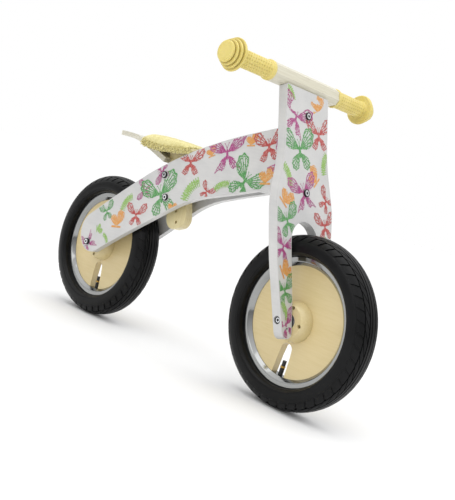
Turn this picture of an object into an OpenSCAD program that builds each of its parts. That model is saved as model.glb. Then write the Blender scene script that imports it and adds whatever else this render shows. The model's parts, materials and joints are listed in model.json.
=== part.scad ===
// Balance bike of plywood: two bent side boards, a fork board, wooden disc wheels.
// +X is forward, +Y is the rider's left, +Z is up. The origin is on the ground,
// midway between the axles. All lengths are millimetres and all angles degrees.

/* [Overall] */
// Distance between the two wheel axles
wheelbase = 564; // [470:1:680]
// Outside radius of the tyres
tyre_r = 152.5; // [127:0.5:183]
// Angle of the steering axis above the ground
head_angle = 72; // [68:0.5:76]

/* [Side boards] */
// Thickness of each side board
board_t = 12; // [9:0.5:15]
// Width of a side board at the head
board_head_w = 111.5; // [92:0.5:118]
// Width of a side board at its rear end
board_rear_w = 84; // [76:0.5:100]
// Length of the front leg, from the steering axis to the elbow
front_leg = 190; // [160:1:228]
// Distance from the rear axle to the rear end of a side board
rear_overhang = 20; // [16:0.5:26]
// Height of a board's centre line above the rear axle
axle_drop = 13; // [8:0.5:18]
// Free space on each side of the tyre
tyre_side_gap = 10; // [6:0.5:14]

/* [Head] */
// Thickness of the block between the side boards
block_t = 18; // [16:0.5:24]
// Length of the block behind the steering pin
block_l = 60; // [40:1:80]
// Distance from the steering pin to the front end of the side boards
head_nose = 11; // [10:0.5:12]
// Distance from the steering pin back from the middle of the fork board
pin_back = 31; // [31:0.5:36]
// Radius of the steering pin
pin_r = 5; // [4:0.25:5.5]
// Running clearance of the pin in its bushes, on the radius
pin_play = 0.05; // [0.02:0.01:0.08]
// Distance between the two eye bolts
eye_pitch = 140.6; // [138:0.2:170]

/* [Fork board] */
// Thickness of the fork board
fork_t = 18; // [15:0.5:21]
// Half width of the fork board below the handlebar
fork_top_w = 60.5; // [50:0.5:70]
// Width of a fork leg beside the tyre
leg_w = 41.5; // [35:0.5:48]
// Width of a fork leg at the axle
leg_foot_w = 29; // [27:0.5:33]
// Gap between the tyre and the top of the arch
arch_gap = 22.5; // [12:0.5:30]
// Distance from the top of the arch to the lower eye bolt
arch_to_eye = 51.6; // [45:0.2:62]
// Distance from the upper eye bolt to the top of the fork board
eye_to_top = 46.8; // [38:0.2:56]
// Distance from the axle to the lower end of a leg
leg_drop = 31; // [26:0.5:36]

/* [Handlebar] */
// Width and height of the bar's chamfered square
bar_w = 32; // [27:0.5:38]
// Half of the length between the ends of the grips
bar_half = 208; // [174:1:250]
// Radius of the round bar ends inside the grips
bar_end_r = 11; // [9:0.25:13]
// Length of one grip
grip_l = 115; // [96:1:130]
// Radius of the grip where the hand holds it
grip_r = 16; // [14:0.25:19]
// Radius of the guard flange at the outer end of the grip
flange_r = 29; // [24:0.5:34]

/* [Wheels] */
// Width of the tyre
tyre_w = 60; // [50:0.5:72]
// Thickness of the tyre's wall
tyre_wall = 4; // [3:0.25:5]
// Outside radius of the rim's lips
lip_r = 112.7; // [94:0.1:120]
// Width across the rim's lips
rim_w = 31.8; // [28:0.2:36]
// Thickness of the rim's metal
rim_t = 1.8; // [1.2:0.1:2.4]
// Thickness of the wooden disc
disc_t = 15; // [12:0.5:18]
// Radius of a hub boss where it meets the disc
boss_r = 36; // [32:0.5:42]
// Width of the hub over both bosses
hub_w = 57; // [50:0.5:60]
// Half width of the valve slot at the rim
slot_w = 15; // [12:0.5:18]
// Distance from the axle to the inner end of the valve slot
slot_start = 40; // [37:0.5:46]
// Radius of the axle
axle_r = 5; // [4:0.25:5.5]
// Turn of the front wheel that sets where its valve rests
front_turn = 5; // [-180:1:180]
// Turn of the rear wheel that sets where its valve rests
rear_turn = -3; // [-180:1:180]

/* [Seat] */
// Lean of the seat post back from the vertical
post_lean = 21; // [15:0.5:26]
// Width of the seat post
post_w = 56; // [47:0.5:67]
// Thickness of the seat post
post_t = 18; // [15:0.5:24]
// Distance between neighbouring height holes
hole_pitch = 23; // [20:0.5:27]
// Distance from the elbow of the side boards to the seat post
post_from_elbow = 97.5; // [90:0.5:110]
// Height of the seat base above the side boards' centre line at the post
seat_rise = 75.5; // [70:0.5:110]
// Length of the seat
seat_l = 174; // [160:1:208]
// Half width of the seat behind the middle
seat_half_w = 52; // [44:0.5:62]
// Thickness of the seat base
base_t = 5; // [4:0.5:7]
// Thickness of the cushion over the lowest point of the base
cushion_t = 26; // [22:0.5:31]
// Width of the tail strip
tail_w = 50; // [42:0.5:56]
// Thickness of the tail strip
tail_t = 10; // [8:0.5:12]

/* [Hidden] */
$fn = 96;
// Largest gap between a rounded corner's facets and its true arc
arc_tol = 0.04;
// Amount that a cutter runs past the face it cuts
past = 1;

// Heights along the steering axis, measured from the front axle
arch_s = tyre_r + arch_gap;
low_eye_s = arch_s + arch_to_eye;
top_eye_s = low_eye_s + eye_pitch;
fork_top_s = top_eye_s + eye_to_top;
bar_s = fork_top_s + bar_w / 2;
head_s = (low_eye_s + top_eye_s) / 2 - 3;
head_low_s = head_s - board_head_w / 2;
head_top_s = head_s + board_head_w / 2;

// Directions in the X-Z plane: along the steering axis, and square to it
axis_up = [-cos(head_angle), sin(head_angle)];
axis_fwd = [sin(head_angle), cos(head_angle)];
front_axle_p = [wheelbase / 2, tyre_r];
rear_axle_p = [-wheelbase / 2, tyre_r];

// Centre line of a side board: head, elbow, and the slope of the rear leg
head_p = front_axle_p + head_s * axis_up - pin_back * axis_fwd;
elbow_p = head_p - front_leg * axis_fwd;
to_elbow = elbow_p - rear_axle_p;
rear_slope = atan2(to_elbow.y, to_elbow.x) - asin(axle_drop / norm(to_elbow));
front_slope = 90 - head_angle;
rear_dir = [cos(rear_slope), sin(rear_slope)];
rear_up = [-sin(rear_slope), cos(rear_slope)];
mid_slope = (rear_slope + front_slope) / 2;
mid_up = [-sin(mid_slope), cos(mid_slope)];
elbow_half = (board_head_w / 2 - 0.75) / cos((rear_slope - front_slope) / 2);
rear_end_p = rear_axle_p + axle_drop * rear_up - rear_overhang * rear_dir;
elbow_top_r = 800;
elbow_low_r = 300;
// The lower corner lies this far behind the elbow, so that the rear arm keeps its depth
low_corner_back = 41;
head_corner_r = 8;

// The side boards bend inwards from the rear wheel to the head block
rear_half_gap = tyre_w / 2 + tyre_side_gap;
head_half_gap = block_t / 2;
bend_start_x = rear_axle_p.x + 32;
bend_end_x = head_p.x - block_l;
bend_steps = 28;

// Fork board
arch_half_w = tyre_w / 2 + 7.3;
fork_max_w = arch_half_w + leg_w;
hub_half = hub_w / 2;
leg_spacer_t = 2.5;
leg_in_y = hub_half + leg_spacer_t;
leg_out_y = leg_in_y + leg_foot_w;

// Steering parts
eye_r = 10;
eye_t = 12;
eye_shank_r = 4;
eye_nut_t = 6;
eye_washer_t = 1.5;
eye_washer_r = 8;
cap_nut_r = 5.5;
cap_nut_head_r = 6.5;
cap_nut_head_t = 3;
cap_nut_l = 13;
bush_r = 7;
bush_l = 14;
bush_flange_r = 8.9;
bush_flange_t = 2;
end_play = 0.2;
pin_head_t = 6;
pin_nut_t = 8;
pin_bore_play = 0.6;

// Socket-head fasteners
bolt_r = 3;
bolt_head_r = 6.5;
bolt_head_t = 4;
hex_key = 2.9;
hex_depth = 2.5;
washer_t = 1.2;

// Hub and bearings
bearing_r = 13;
bearing_w = 8;
ring_t = 2.4;
ball_r = 2.38;
balls = 7;
hub_bore_r = 9;
sleeve_r = 7;
boss_arc_r = 28;
hub_screw_r = 1.75;
hub_screw_head_r = 3.4;
hub_screw_circle = 24;
hub_screws = 4;
rim_screws = 6;
rim_screw_l = 22;

// Rim and tyre sections
rim_bed_r = lip_r - 14.5;
rim_seat_r = lip_r - 8.7;
rim_bed_half = 8.5;
tyre_mid_r = tyre_r - tyre_w / 2;
bead_w = 3.7;
valve_r = 4.1;
valve_top_r = 74;
cap_l = 9;

// Seat
post_up = [-sin(post_lean), cos(post_lean)];
post_fwd = [cos(post_lean), sin(post_lean)];
post_p = elbow_p - post_from_elbow * rear_dir;
low_bolt_p = post_p - 14.5 * post_up;
top_bolt_p = low_bolt_p + 2 * hole_pitch * post_up;
post_low_p = low_bolt_p - (2 * hole_pitch + 13) * post_up;
post_hole_r = 3.25;
spacer_r = 8;
spare_holes = 2;
base_p = [post_p.x - 52.8, post_p.y + seat_rise];
base_rear_r = 150;
base_front_r = 360;
seat_rear_x = base_p.x - 68;
seat_front_x = seat_rear_x + seat_l;
tail_slope = 18.4;
tail_bend_r = 200;
tail_back = 12;
tail_straight = 74;
tail_tip = 24;
staples = 9;

// ---------- Geometry helpers ----------

function unit(v) = v / norm(v);
function angle_of(v) = atan2(v.y, v.x);
function short_turn(a) = a > 180 ? a - 360 : a < -180 ? a + 360 : a;
function mirrored(pts) = [for (i = [len(pts) - 1:-1:0]) [-pts[i].x, pts[i].y]];
function reversed(v) = [for (i = [len(v) - 1:-1:0]) v[i]];

// Number of straight steps in an arc of radius r that turns by the given angle
function arc_steps(r, turn) = max(1, ceil(abs(turn) / (2 * acos(1 - arc_tol / r))));

// Corner p between neighbours a and b, rounded to radius r
function corner(a, p, b, r) =
  let (
    u = unit(a - p),
    v = unit(b - p),
    half = acos(u * v) / 2,
    c = p + unit(u + v) * r / sin(half),
    from = angle_of(p + u * r / tan(half) - c),
    turn = short_turn(angle_of(p + v * r / tan(half) - c) - from),
    n = arc_steps(r, turn)
  )
  [for (j = [0:n]) c + r * [cos(from + turn * j / n), sin(from + turn * j / n)]];

// Closed outline with each corner rounded to its own radius, 0 for a sharp one
function rounded(pts, radii) =
  let (n = len(pts))
  [for (i = [0:n - 1])
    for (q = radii[i] > 0
      ? corner(pts[(i + n - 1) % n], pts[i], pts[(i + 1) % n], radii[i])
      : [pts[i]]) q];

// Extrudes an X-Z outline across the bike, from y0 to y1
module across(y0, y1) {
  translate([0, y1, 0]) rotate([90, 0, 0]) linear_extrude(height = y1 - y0) children();
}

// Rod along Y at the X-Z point p, from y0 to y1
module cross_rod(p, r, y0, y1) {
  translate([p.x, y0, p.y]) rotate([-90, 0, 0]) cylinder(r = r, h = y1 - y0);
}

// Ring or solid turned about the Y axis from a profile of [radius, y]
module turned() {
  rotate([-90, 0, 0]) rotate_extrude() children();
}

// Both sides of the bike: the part as drawn on +Y, and its mirror image on -Y
module both_sides() {
  children();
  mirror([0, 1, 0]) children();
}

// Fork frame: X is forward, square to the board, Z is up the steering axis
module on_fork() {
  translate([wheelbase / 2, 0, tyre_r]) rotate([0, head_angle - 90, 0]) children();
}

module at_front_wheel() {
  translate([wheelbase / 2, 0, tyre_r]) rotate([0, front_turn, 0]) children();
}

module at_rear_wheel() {
  translate([-wheelbase / 2, 0, tyre_r]) rotate([0, rear_turn, 0]) children();
}

// Socket-head screw head on +Y, seated at y with its hexagon recess outwards
module socket_head(y, r = bolt_head_r, t = bolt_head_t) {
  difference() {
    cross_rod([0, 0], r, y, y + t);
    translate([0, y + t - hex_depth, 0])
      rotate([-90, 0, 0]) cylinder(r = hex_key, h = hex_depth + past, $fn = 6);
  }
}

// ---------- Side boards ----------

// Half of the free space between the boards at x
function half_gap(x) =
  let (u = min(1, max(0, (x - bend_start_x) / (bend_end_x - bend_start_x))))
  rear_half_gap + (head_half_gap - rear_half_gap) * (3 * u * u - 2 * u * u * u);

board_outline = rounded(
  [
    rear_end_p - board_rear_w / 2 * rear_up,
    elbow_p - elbow_half * mid_up - low_corner_back * [cos(front_slope), sin(front_slope)],
    head_p + head_nose * axis_fwd - board_head_w / 2 * axis_up,
    head_p + head_nose * axis_fwd + board_head_w / 2 * axis_up,
    elbow_p + elbow_half * mid_up,
    rear_end_p + board_rear_w / 2 * rear_up
  ],
  [
    board_rear_w / 2 - 0.5, elbow_low_r, head_corner_r, head_corner_r, elbow_top_r,
    board_rear_w / 2 - 0.5
  ]
);

// Plan line of the bent board, offset outwards from its inner face
function plan_line(off) =
  [
    for (i = [0:bend_steps])
      let (x = bend_start_x + (bend_end_x - bend_start_x) * i / bend_steps)
      [x, half_gap(x) + off]
  ];
plan_rear_x = rear_axle_p.x - board_rear_w;
plan_front_x = head_p.x + board_head_w;
board_plan = concat(
  [[plan_rear_x, rear_half_gap]],
  plan_line(0),
  [[plan_front_x, head_half_gap], [plan_front_x, head_half_gap + board_t]],
  reversed(plan_line(board_t)),
  [[plan_rear_x, rear_half_gap + board_t]]
);
plan_top_z = elbow_p.y + wheelbase;

// Left side board; the right one is its mirror image
module side_board() {
  difference() {
    intersection() {
      across(0, rear_half_gap + board_t + past) polygon(board_outline);
      linear_extrude(height = plan_top_z) polygon(board_plan);
    }
    cross_rod(rear_axle_p, axle_r, 0, rear_half_gap + board_t + past);
    for (p = [low_bolt_p, top_bolt_p]) {
      cross_rod(p, bolt_r, 0, rear_half_gap + board_t + past);
      // Flat seat for the cap on the slanted outer face
      cross_rod(p, bolt_head_r + 0.5, cap_seat_y(p), rear_half_gap + board_t + past);
    }
    for (p = head_dowel_points) cross_rod(p, dowel_r, 0, head_half_gap + dowel_in);
  }
}

module side_panel_right() {
  color("lavender") mirror([0, 1, 0]) side_board();
}

module side_panel_left() {
  color("lavender") side_board();
}

// ---------- Head block and steering ----------

dowel_r = 4;
dowel_in = 7;
head_dowel_points = [
  for (s = [-1, 1]) head_p - (block_l - 22) * axis_fwd + s * board_head_w / 4 * axis_up
];
pin_x = -pin_back;
low_eye_top_s = low_eye_s + eye_t / 2;
top_eye_low_s = top_eye_s - eye_t / 2;

// Cylinder along the steering axis, at the pin
module on_pin(r, s0, s1) {
  on_fork() translate([pin_x, 0, s0]) cylinder(r = r, h = s1 - s0);
}

module head_block() {
  color("burlywood") difference() {
    intersection() {
      across(-block_t / 2, block_t / 2) polygon(board_outline);
      on_fork()
        translate([pin_x - block_l, -block_t, head_low_s - board_head_w])
          cube([block_l + head_nose + past, 2 * block_t, 3 * board_head_w]);
    }
    on_pin(pin_r + pin_bore_play, head_low_s - past, head_top_s + past);
    on_pin(bush_r, head_low_s - past, head_low_s + bush_l);
    on_pin(bush_r, head_top_s - bush_l, head_top_s + past);
    for (p = head_dowel_points) cross_rod(p, dowel_r, -block_t, block_t);
  }
}

module head_dowels() {
  color("burlywood")
    for (p = head_dowel_points)
      cross_rod(p, dowel_r, -head_half_gap - dowel_in + 0.5, head_half_gap + dowel_in - 0.5);
}

module head_bushes() {
  color("dimgray") difference() {
    union() {
      on_pin(bush_r, head_low_s, head_low_s + bush_l);
      on_pin(bush_flange_r, head_low_s - bush_flange_t, head_low_s);
      on_pin(bush_r, head_top_s - bush_l, head_top_s);
      on_pin(bush_flange_r, head_top_s, head_top_s + bush_flange_t);
    }
    on_pin(pin_r + pin_play, head_low_s - board_head_w, head_top_s + board_head_w);
  }
}

module steering_pin() {
  color("silver") {
    on_pin(pin_r, low_eye_s - eye_t / 2, top_eye_s + eye_t / 2 + pin_nut_t + 2);
    on_fork() translate([pin_x, 0, low_eye_s - eye_t / 2 - pin_head_t])
      cylinder(r = 9, h = pin_head_t, $fn = 6);
  }
}

module steering_nut() {
  color("silver") on_fork() translate([pin_x, 0, top_eye_s + eye_t / 2])
    difference() {
      cylinder(r = 9, h = pin_nut_t, $fn = 6);
      translate([0, 0, -past]) cylinder(r = pin_r, h = pin_nut_t + 2 * past);
    }
}

// Thrust washer under the head and spacer tube above it
module steering_spacers() {
  color("dimgray") difference() {
    union() {
      on_pin(bush_flange_r, low_eye_top_s, head_low_s - bush_flange_t - end_play);
      on_pin(bush_flange_r, head_top_s + bush_flange_t + end_play, top_eye_low_s);
    }
    on_pin(pin_r, low_eye_s, top_eye_s);
  }
}

eye_shank_end = fork_t / 2 - cap_nut_head_t;

module eye_bolts() {
  color("silver") for (s = [low_eye_s, top_eye_s]) on_fork() translate([0, 0, s])
    difference() {
      union() {
        translate([pin_x, 0, -eye_t / 2]) cylinder(r = eye_r, h = eye_t);
        translate([pin_x + pin_r + 1, 0, 0]) rotate([0, 90, 0])
          cylinder(r = eye_shank_r, h = eye_shank_end - pin_x - pin_r - 1);
      }
      translate([pin_x, 0, -eye_t]) cylinder(r = pin_r, h = 2 * eye_t);
    }
}

// Lock nuts and washers that hold the eye bolts against the back of the fork board
module eye_nuts() {
  color("silver") for (s = [low_eye_s, top_eye_s]) on_fork()
    translate([-fork_t / 2 - eye_washer_t - eye_nut_t, 0, s]) rotate([0, 90, 0])
      difference() {
        cylinder(r = 7.5, h = eye_nut_t, $fn = 6);
        translate([0, 0, -past]) cylinder(r = eye_shank_r, h = eye_nut_t + 2 * past);
      }
}

module eye_washers() {
  color("silver") for (s = [low_eye_s, top_eye_s]) on_fork()
    translate([-fork_t / 2 - eye_washer_t, 0, s]) rotate([0, 90, 0])
      difference() {
        cylinder(r = eye_washer_r, h = eye_washer_t);
        translate([0, 0, -past]) cylinder(r = eye_shank_r, h = eye_washer_t + 2 * past);
      }
}

// Socket cap nuts that close the eye bolts at the front of the fork board
module fork_cap_nuts() {
  color("gainsboro") for (s = [low_eye_s, top_eye_s]) on_fork() translate([0, 0, s])
    rotate([0, 90, 0]) difference() {
      union() {
        translate([0, 0, fork_t / 2]) cylinder(r = cap_nut_head_r, h = cap_nut_head_t);
        translate([0, 0, fork_t / 2 - cap_nut_l]) cylinder(r = cap_nut_r, h = cap_nut_l);
      }
      translate([0, 0, -fork_t]) cylinder(r = eye_shank_r, h = fork_t + eye_shank_end);
      translate([0, 0, fork_t / 2 + cap_nut_head_t - hex_depth])
        cylinder(r = hex_key, h = hex_depth + past, $fn = 6);
    }
}

// ---------- Fork board and handlebar ----------

fork_wide_s = arch_s + 30;
fork_neck_s = fork_wide_s + 85;
leg_bend_s = tyre_r - 42;
leg_foot_s = 35;
fork_side = [
  [fork_top_w, fork_top_s],
  [fork_top_w, fork_neck_s],
  [fork_max_w + 0.7, fork_wide_s],
  [fork_max_w - 2.5, leg_bend_s],
  [leg_out_y - 4.5, -leg_drop],
  [leg_in_y, -leg_drop],
  [leg_in_y, leg_foot_s],
  [arch_half_w, arch_s - arch_half_w - 6],
  [arch_half_w, arch_s]
];
fork_side_r = [3, 300, 150, 500, 14, 12, 60, 60, arch_half_w - 0.1];
fork_outline = rounded(
  concat(fork_side, mirrored(fork_side)), concat(fork_side_r, reversed(fork_side_r))
);
bar_x = -5;
bar_screw_y = 38;
bar_dowel_y = 20;
bar_screw_r = 2.5;
bar_screw_in = 45;
axle_recess_y = leg_out_y - 8.5;
grub_p = [leg_in_y + leg_foot_w / 2 - 2, -14];
grub_r = 2.5;

module fork_panel() {
  color("lavender") on_fork() difference() {
    translate([-fork_t / 2, 0, 0]) rotate([90, 0, 90])
      linear_extrude(height = fork_t) polygon(fork_outline);
    for (s = [low_eye_s, top_eye_s]) translate([0, 0, s]) rotate([0, 90, 0]) {
      translate([0, 0, -fork_t]) cylinder(r = eye_shank_r, h = 2 * fork_t);
      translate([0, 0, fork_t / 2 - cap_nut_l]) cylinder(r = cap_nut_r, h = fork_t);
    }
    both_sides() {
      cross_rod([0, 0], axle_r, 0, axle_recess_y);
      cross_rod([0, 0], bolt_head_r + 0.3, axle_recess_y, fork_max_w);
      translate([0, grub_p.x, grub_p.y]) rotate([0, 90, 0])
        cylinder(r = grub_r, h = fork_t);
      translate([bar_x, bar_screw_y, fork_top_s - bar_screw_in])
        cylinder(r = bar_screw_r, h = bar_screw_in + past);
      translate([bar_x, bar_dowel_y, fork_top_s - dowel_fork_in])
        cylinder(r = bar_dowel_r, h = dowel_fork_in + past);
    }
  }
}

// Short grub screws in the front of each leg that lock the axle
module leg_grub_screws() {
  color("dimgray") on_fork() both_sides() translate([0.5, grub_p.x, grub_p.y])
    rotate([0, 90, 0]) difference() {
      cylinder(r = grub_r, h = 5);
      translate([0, 0, 3]) cylinder(r = 1.2, h = 3, $fn = 6);
    }
}

bar_chamfer = 8;
grip_in_y = bar_half - grip_l;
grip_end_wall = 8;
bar_dowel_r = 3;
dowel_fork_in = 16;
dowel_bar_in = 14;
bar_head_r = 5;
bar_head_t = 4;
bar_section = let (h = bar_w / 2, c = bar_chamfer) [
  [h, h - c], [h - c, h], [c - h, h], [-h, h - c],
  [-h, c - h], [c - h, -h], [h - c, -h], [h, c - h]
];

module handlebar() {
  color("oldlace") on_fork() difference() {
    union() {
      translate([bar_x, grip_in_y, bar_s]) rotate([90, 0, 0])
        linear_extrude(height = 2 * grip_in_y) polygon(bar_section);
      translate([bar_x, 0, bar_s])
        cross_rod([0, 0], bar_end_r, -bar_half + grip_end_wall, bar_half - grip_end_wall);
    }
    both_sides() {
      translate([bar_x, bar_screw_y, fork_top_s - past])
        cylinder(r = bar_screw_r, h = bar_w + 2 * past);
      translate([bar_x, bar_screw_y, fork_top_s + bar_w - bar_head_t])
        cylinder(r = bar_head_r, h = bar_head_t + past);
      translate([bar_x, bar_dowel_y, fork_top_s - past])
        cylinder(r = bar_dowel_r, h = dowel_bar_in + past);
    }
  }
}

module bar_screws() {
  color("silver") on_fork() both_sides() translate([bar_x, bar_screw_y, 0]) difference() {
    union() {
      translate([0, 0, fork_top_s - bar_screw_in + 1])
        cylinder(r = bar_screw_r, h = bar_screw_in - 1 + bar_w - bar_head_t);
      translate([0, 0, fork_top_s + bar_w - bar_head_t])
        cylinder(r = bar_head_r, h = bar_head_t - 0.5);
    }
    translate([0, 0, fork_top_s + bar_w - bar_head_t + 0.8])
      cylinder(r = 2, h = bar_head_t, $fn = 6);
  }
}

module bar_dowels() {
  color("burlywood") on_fork() both_sides()
    translate([bar_x, bar_dowel_y, fork_top_s - dowel_fork_in + 0.5])
      cylinder(r = bar_dowel_r, h = dowel_fork_in + dowel_bar_in - 1);
}

// One rubber grip on +Y: [radius, length] of each turned step, from the inner end
grip_steps = [
  [grip_r + 2.5, 6],
  [grip_r, grip_l - 32],
  [flange_r, 7],
  [flange_r - 3.8, 6],
  [flange_r - 7.4, 6],
  [flange_r - 11, 7]
];
function step_start(i) = i == 0 ? 0 : step_start(i - 1) + grip_steps[i - 1][1];

module grip() {
  on_fork() translate([bar_x, 0, bar_s]) difference() {
    for (i = [0:len(grip_steps) - 1])
      let (y = grip_in_y + step_start(i))
      cross_rod([0, 0], grip_steps[i][0], y, y + grip_steps[i][1]);
    cross_rod([0, 0], bar_end_r, 0, bar_half - grip_end_wall);
  }
}

module grip_right() {
  color("khaki") mirror([0, 1, 0]) grip();
}

module grip_left() {
  color("khaki") grip();
}

// ---------- Axles ----------

// Axle rod with a threaded bore in each end, for bolts on its own ends
module axle_rod(half_l) {
  difference() {
    cross_rod([0, 0], axle_r, -half_l, half_l);
    both_sides() cross_rod([0, 0], bolt_r, half_l - 14, half_l + past);
  }
}

// Two end bolts whose heads seat at y
module axle_bolts(y, head_r, head_t) {
  both_sides() union() {
    socket_head(y, head_r, head_t);
    cross_rod([0, 0], bolt_r, y - 13, y);
  }
}

// Rings round the axle on both sides of the wheel, from y0 to y1
module axle_rings(y0, y1, r_in, r_out) {
  both_sides() difference() {
    cross_rod([0, 0], r_out, y0, y1);
    cross_rod([0, 0], r_in, y0 - past, y1 + past);
  }
}

// Inner rings of the bearings with the sleeve that spaces them
module bearing_inners() {
  axle_rings(hub_half - bearing_w, hub_half, axle_r, axle_r + ring_t);
  difference() {
    cross_rod([0, 0], sleeve_r, bearing_w - hub_half, hub_half - bearing_w);
    cross_rod([0, 0], axle_r, -hub_half, hub_half);
  }
}

rear_out_y = rear_half_gap + board_t;
module at_front_axle() { translate([wheelbase / 2, 0, tyre_r]) children(); }
module at_rear_axle() { translate([-wheelbase / 2, 0, tyre_r]) children(); }

module front_axle() {
  color("silver") at_front_axle() axle_rod(axle_recess_y - 0.5);
}

module front_axle_bolts() {
  color("gainsboro") at_front_axle()
    axle_bolts(axle_recess_y + washer_t, bolt_head_r - 1, bolt_head_t + 1);
}

module front_axle_washers() {
  color("silver") at_front_axle()
    axle_rings(axle_recess_y, axle_recess_y + washer_t, bolt_r, bolt_head_r);
}

module front_axle_spacers() {
  color("silver") at_front_axle() axle_rings(hub_half, leg_in_y, axle_r, sleeve_r);
}

module front_bearing_inners() {
  color("silver") at_front_axle() bearing_inners();
}

module rear_axle() {
  color("silver") at_rear_axle() axle_rod(rear_out_y - 0.5);
}

module rear_axle_bolts() {
  color("gainsboro") at_rear_axle()
    axle_bolts(rear_out_y + washer_t, bolt_head_r, bolt_head_t);
}

module rear_axle_washers() {
  color("silver") at_rear_axle()
    axle_rings(rear_out_y, rear_out_y + washer_t, bolt_r, bolt_head_r + 1.5);
}

module rear_axle_spacers() {
  color("silver") at_rear_axle() axle_rings(hub_half, rear_half_gap, axle_r, sleeve_r);
}

module rear_bearing_inners() {
  color("silver") at_rear_axle() bearing_inners();
}

// ---------- Wheels, drawn about the Y axis with the valve pointing down ----------

// Where the sidewalls start to close in on the beads; a tall tyre is straight above it
tyre_low_r = min(tyre_mid_r, lip_r + 9.8);

// The tyre's section, round or with straight walls, out to half_w on each side
module tyre_section(half_w) {
  translate([tyre_mid_r, 0]) circle(r = half_w);
  if (tyre_mid_r > tyre_low_r) {
    translate([tyre_low_r, 0]) circle(r = half_w);
    translate([tyre_low_r, -half_w]) square([tyre_mid_r - tyre_low_r, 2 * half_w]);
  }
}

module tyre() {
  web_r = lip_r + 0.5;
  color("dimgray") turned() {
    difference() {
      tyre_section(tyre_w / 2);
      tyre_section(tyre_w / 2 - tyre_wall);
      translate([0, -tyre_w]) square([web_r, 2 * tyre_w]);
    }
    for (side = [-1, 1]) mirror([0, side < 0 ? 1 : 0]) {
      translate([web_r, rim_w / 2 - rim_t - bead_w - 0.8])
        square([tyre_wall, tyre_w / 2 - tyre_wall + 0.6 - rim_w / 2 + rim_t + bead_w]);
      translate([rim_seat_r + 1.6, rim_w / 2 - rim_t - bead_w - 0.8])
        square([web_r - rim_seat_r, bead_w]);
    }
  }
}

tube_r = min((tyre_r - lip_r - 2 * tyre_wall - 1.2) / 2, tyre_w / 2 - tyre_wall - 1);
tube_mid_r = tyre_r - tyre_wall - 0.3 - tube_r;
module inner_tube() {
  color("black") turned() difference() {
    translate([tube_mid_r, 0]) circle(r = tube_r);
    translate([tube_mid_r, 0]) circle(r = tube_r - 1.5);
  }
}

rim_section = [
  [lip_r, rim_w / 2], [rim_seat_r, rim_w / 2 - 0.7], [rim_bed_r, rim_bed_half],
  [rim_bed_r, -rim_bed_half], [rim_seat_r, 0.7 - rim_w / 2], [lip_r, -rim_w / 2],
  [lip_r, rim_t - rim_w / 2], [rim_seat_r + 1.4, rim_t + 0.6 - rim_w / 2],
  [rim_bed_r + rim_t, 0.8 - rim_bed_half], [rim_bed_r + rim_t, rim_bed_half - 0.8],
  [rim_seat_r + 1.4, rim_w / 2 - rim_t - 0.6], [lip_r, rim_w / 2 - rim_t]
];

module rim() {
  color("silver") difference() {
    turned() polygon(rim_section);
    translate([0, 0, -lip_r]) cylinder(r = valve_r, h = lip_r / 2);
    at_rim_screws() cylinder(r = hub_screw_r, h = lip_r);
  }
}

// Radial places of the screws that hold the rim to the disc, clear of the valve
module at_rim_screws() {
  for (i = [0:rim_screws - 1]) rotate([0, 360 * (i + 0.5) / rim_screws, 0]) children();
}

// The slot widens from a rounded inner end to the rim; it is drawn pointing down
slot_neck = slot_w - 4.5;
slot_outline = rounded(
  [
    [-slot_neck, -slot_start], [slot_neck, -slot_start],
    [slot_w - 1.8, -slot_start - 26], [slot_w, -lip_r], [-slot_w, -lip_r],
    [1.8 - slot_w, -slot_start - 26]
  ],
  [slot_neck - 0.3, slot_neck - 0.3, 30, 0, 0, 30]
);

module disc() {
  color("wheat") difference() {
    cross_rod([0, 0], rim_bed_r, -disc_t / 2, disc_t / 2);
    cross_rod([0, 0], hub_bore_r, -disc_t, disc_t);
    across(-disc_t, disc_t) polygon(slot_outline);
    at_hub_screws() cross_rod([0, 0], hub_screw_r, -disc_t, disc_t);
    at_rim_screws()
      translate([0, 0, rim_bed_r - rim_screw_l]) cylinder(r = hub_screw_r, h = lip_r);
  }
}

module at_hub_screws() {
  for (i = [0:hub_screws - 1]) rotate([0, 360 * i / hub_screws, 0])
    translate([hub_screw_circle, 0, 0]) children();
}

hub_screw_seat = hub_half - 12;
module hub_bosses() {
  color("wheat") both_sides() difference() {
    turned() {
      intersection() {
        translate([boss_r - boss_arc_r, disc_t / 2]) circle(r = boss_arc_r);
        translate([boss_r - boss_arc_r, disc_t / 2])
          square([boss_arc_r + past, hub_half - disc_t / 2]);
      }
      translate([0, disc_t / 2]) square([boss_r - boss_arc_r, hub_half - disc_t / 2]);
    }
    cross_rod([0, 0], hub_bore_r, 0, hub_half + past);
    cross_rod([0, 0], bearing_r, hub_half - bearing_w, hub_half + past);
    at_hub_screws() {
      cross_rod([0, 0], hub_screw_r, 0, hub_half);
      cross_rod([0, 0], hub_screw_head_r, hub_screw_seat, hub_half + past);
    }
  }
}

module hub_screws() {
  color("dimgray") both_sides() at_hub_screws() {
    cross_rod([0, 0], hub_screw_r, 0.3, hub_screw_seat);
    difference() {
      cross_rod([0, 0], hub_screw_head_r - 0.3, hub_screw_seat, hub_screw_seat + 2.5);
      translate([0, hub_screw_seat + 1, 0]) rotate([-90, 0, 0])
        cylinder(r = 1.5, h = 3, $fn = 6);
    }
  }
}

module rim_screws() {
  color("silver") at_rim_screws() union() {
    translate([0, 0, rim_bed_r - rim_screw_l + 1])
      cylinder(r = hub_screw_r, h = rim_screw_l - 1 + rim_t);
    translate([0, 0, rim_bed_r + rim_t]) cylinder(r = 3.4, h = 1.2);
  }
}

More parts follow.
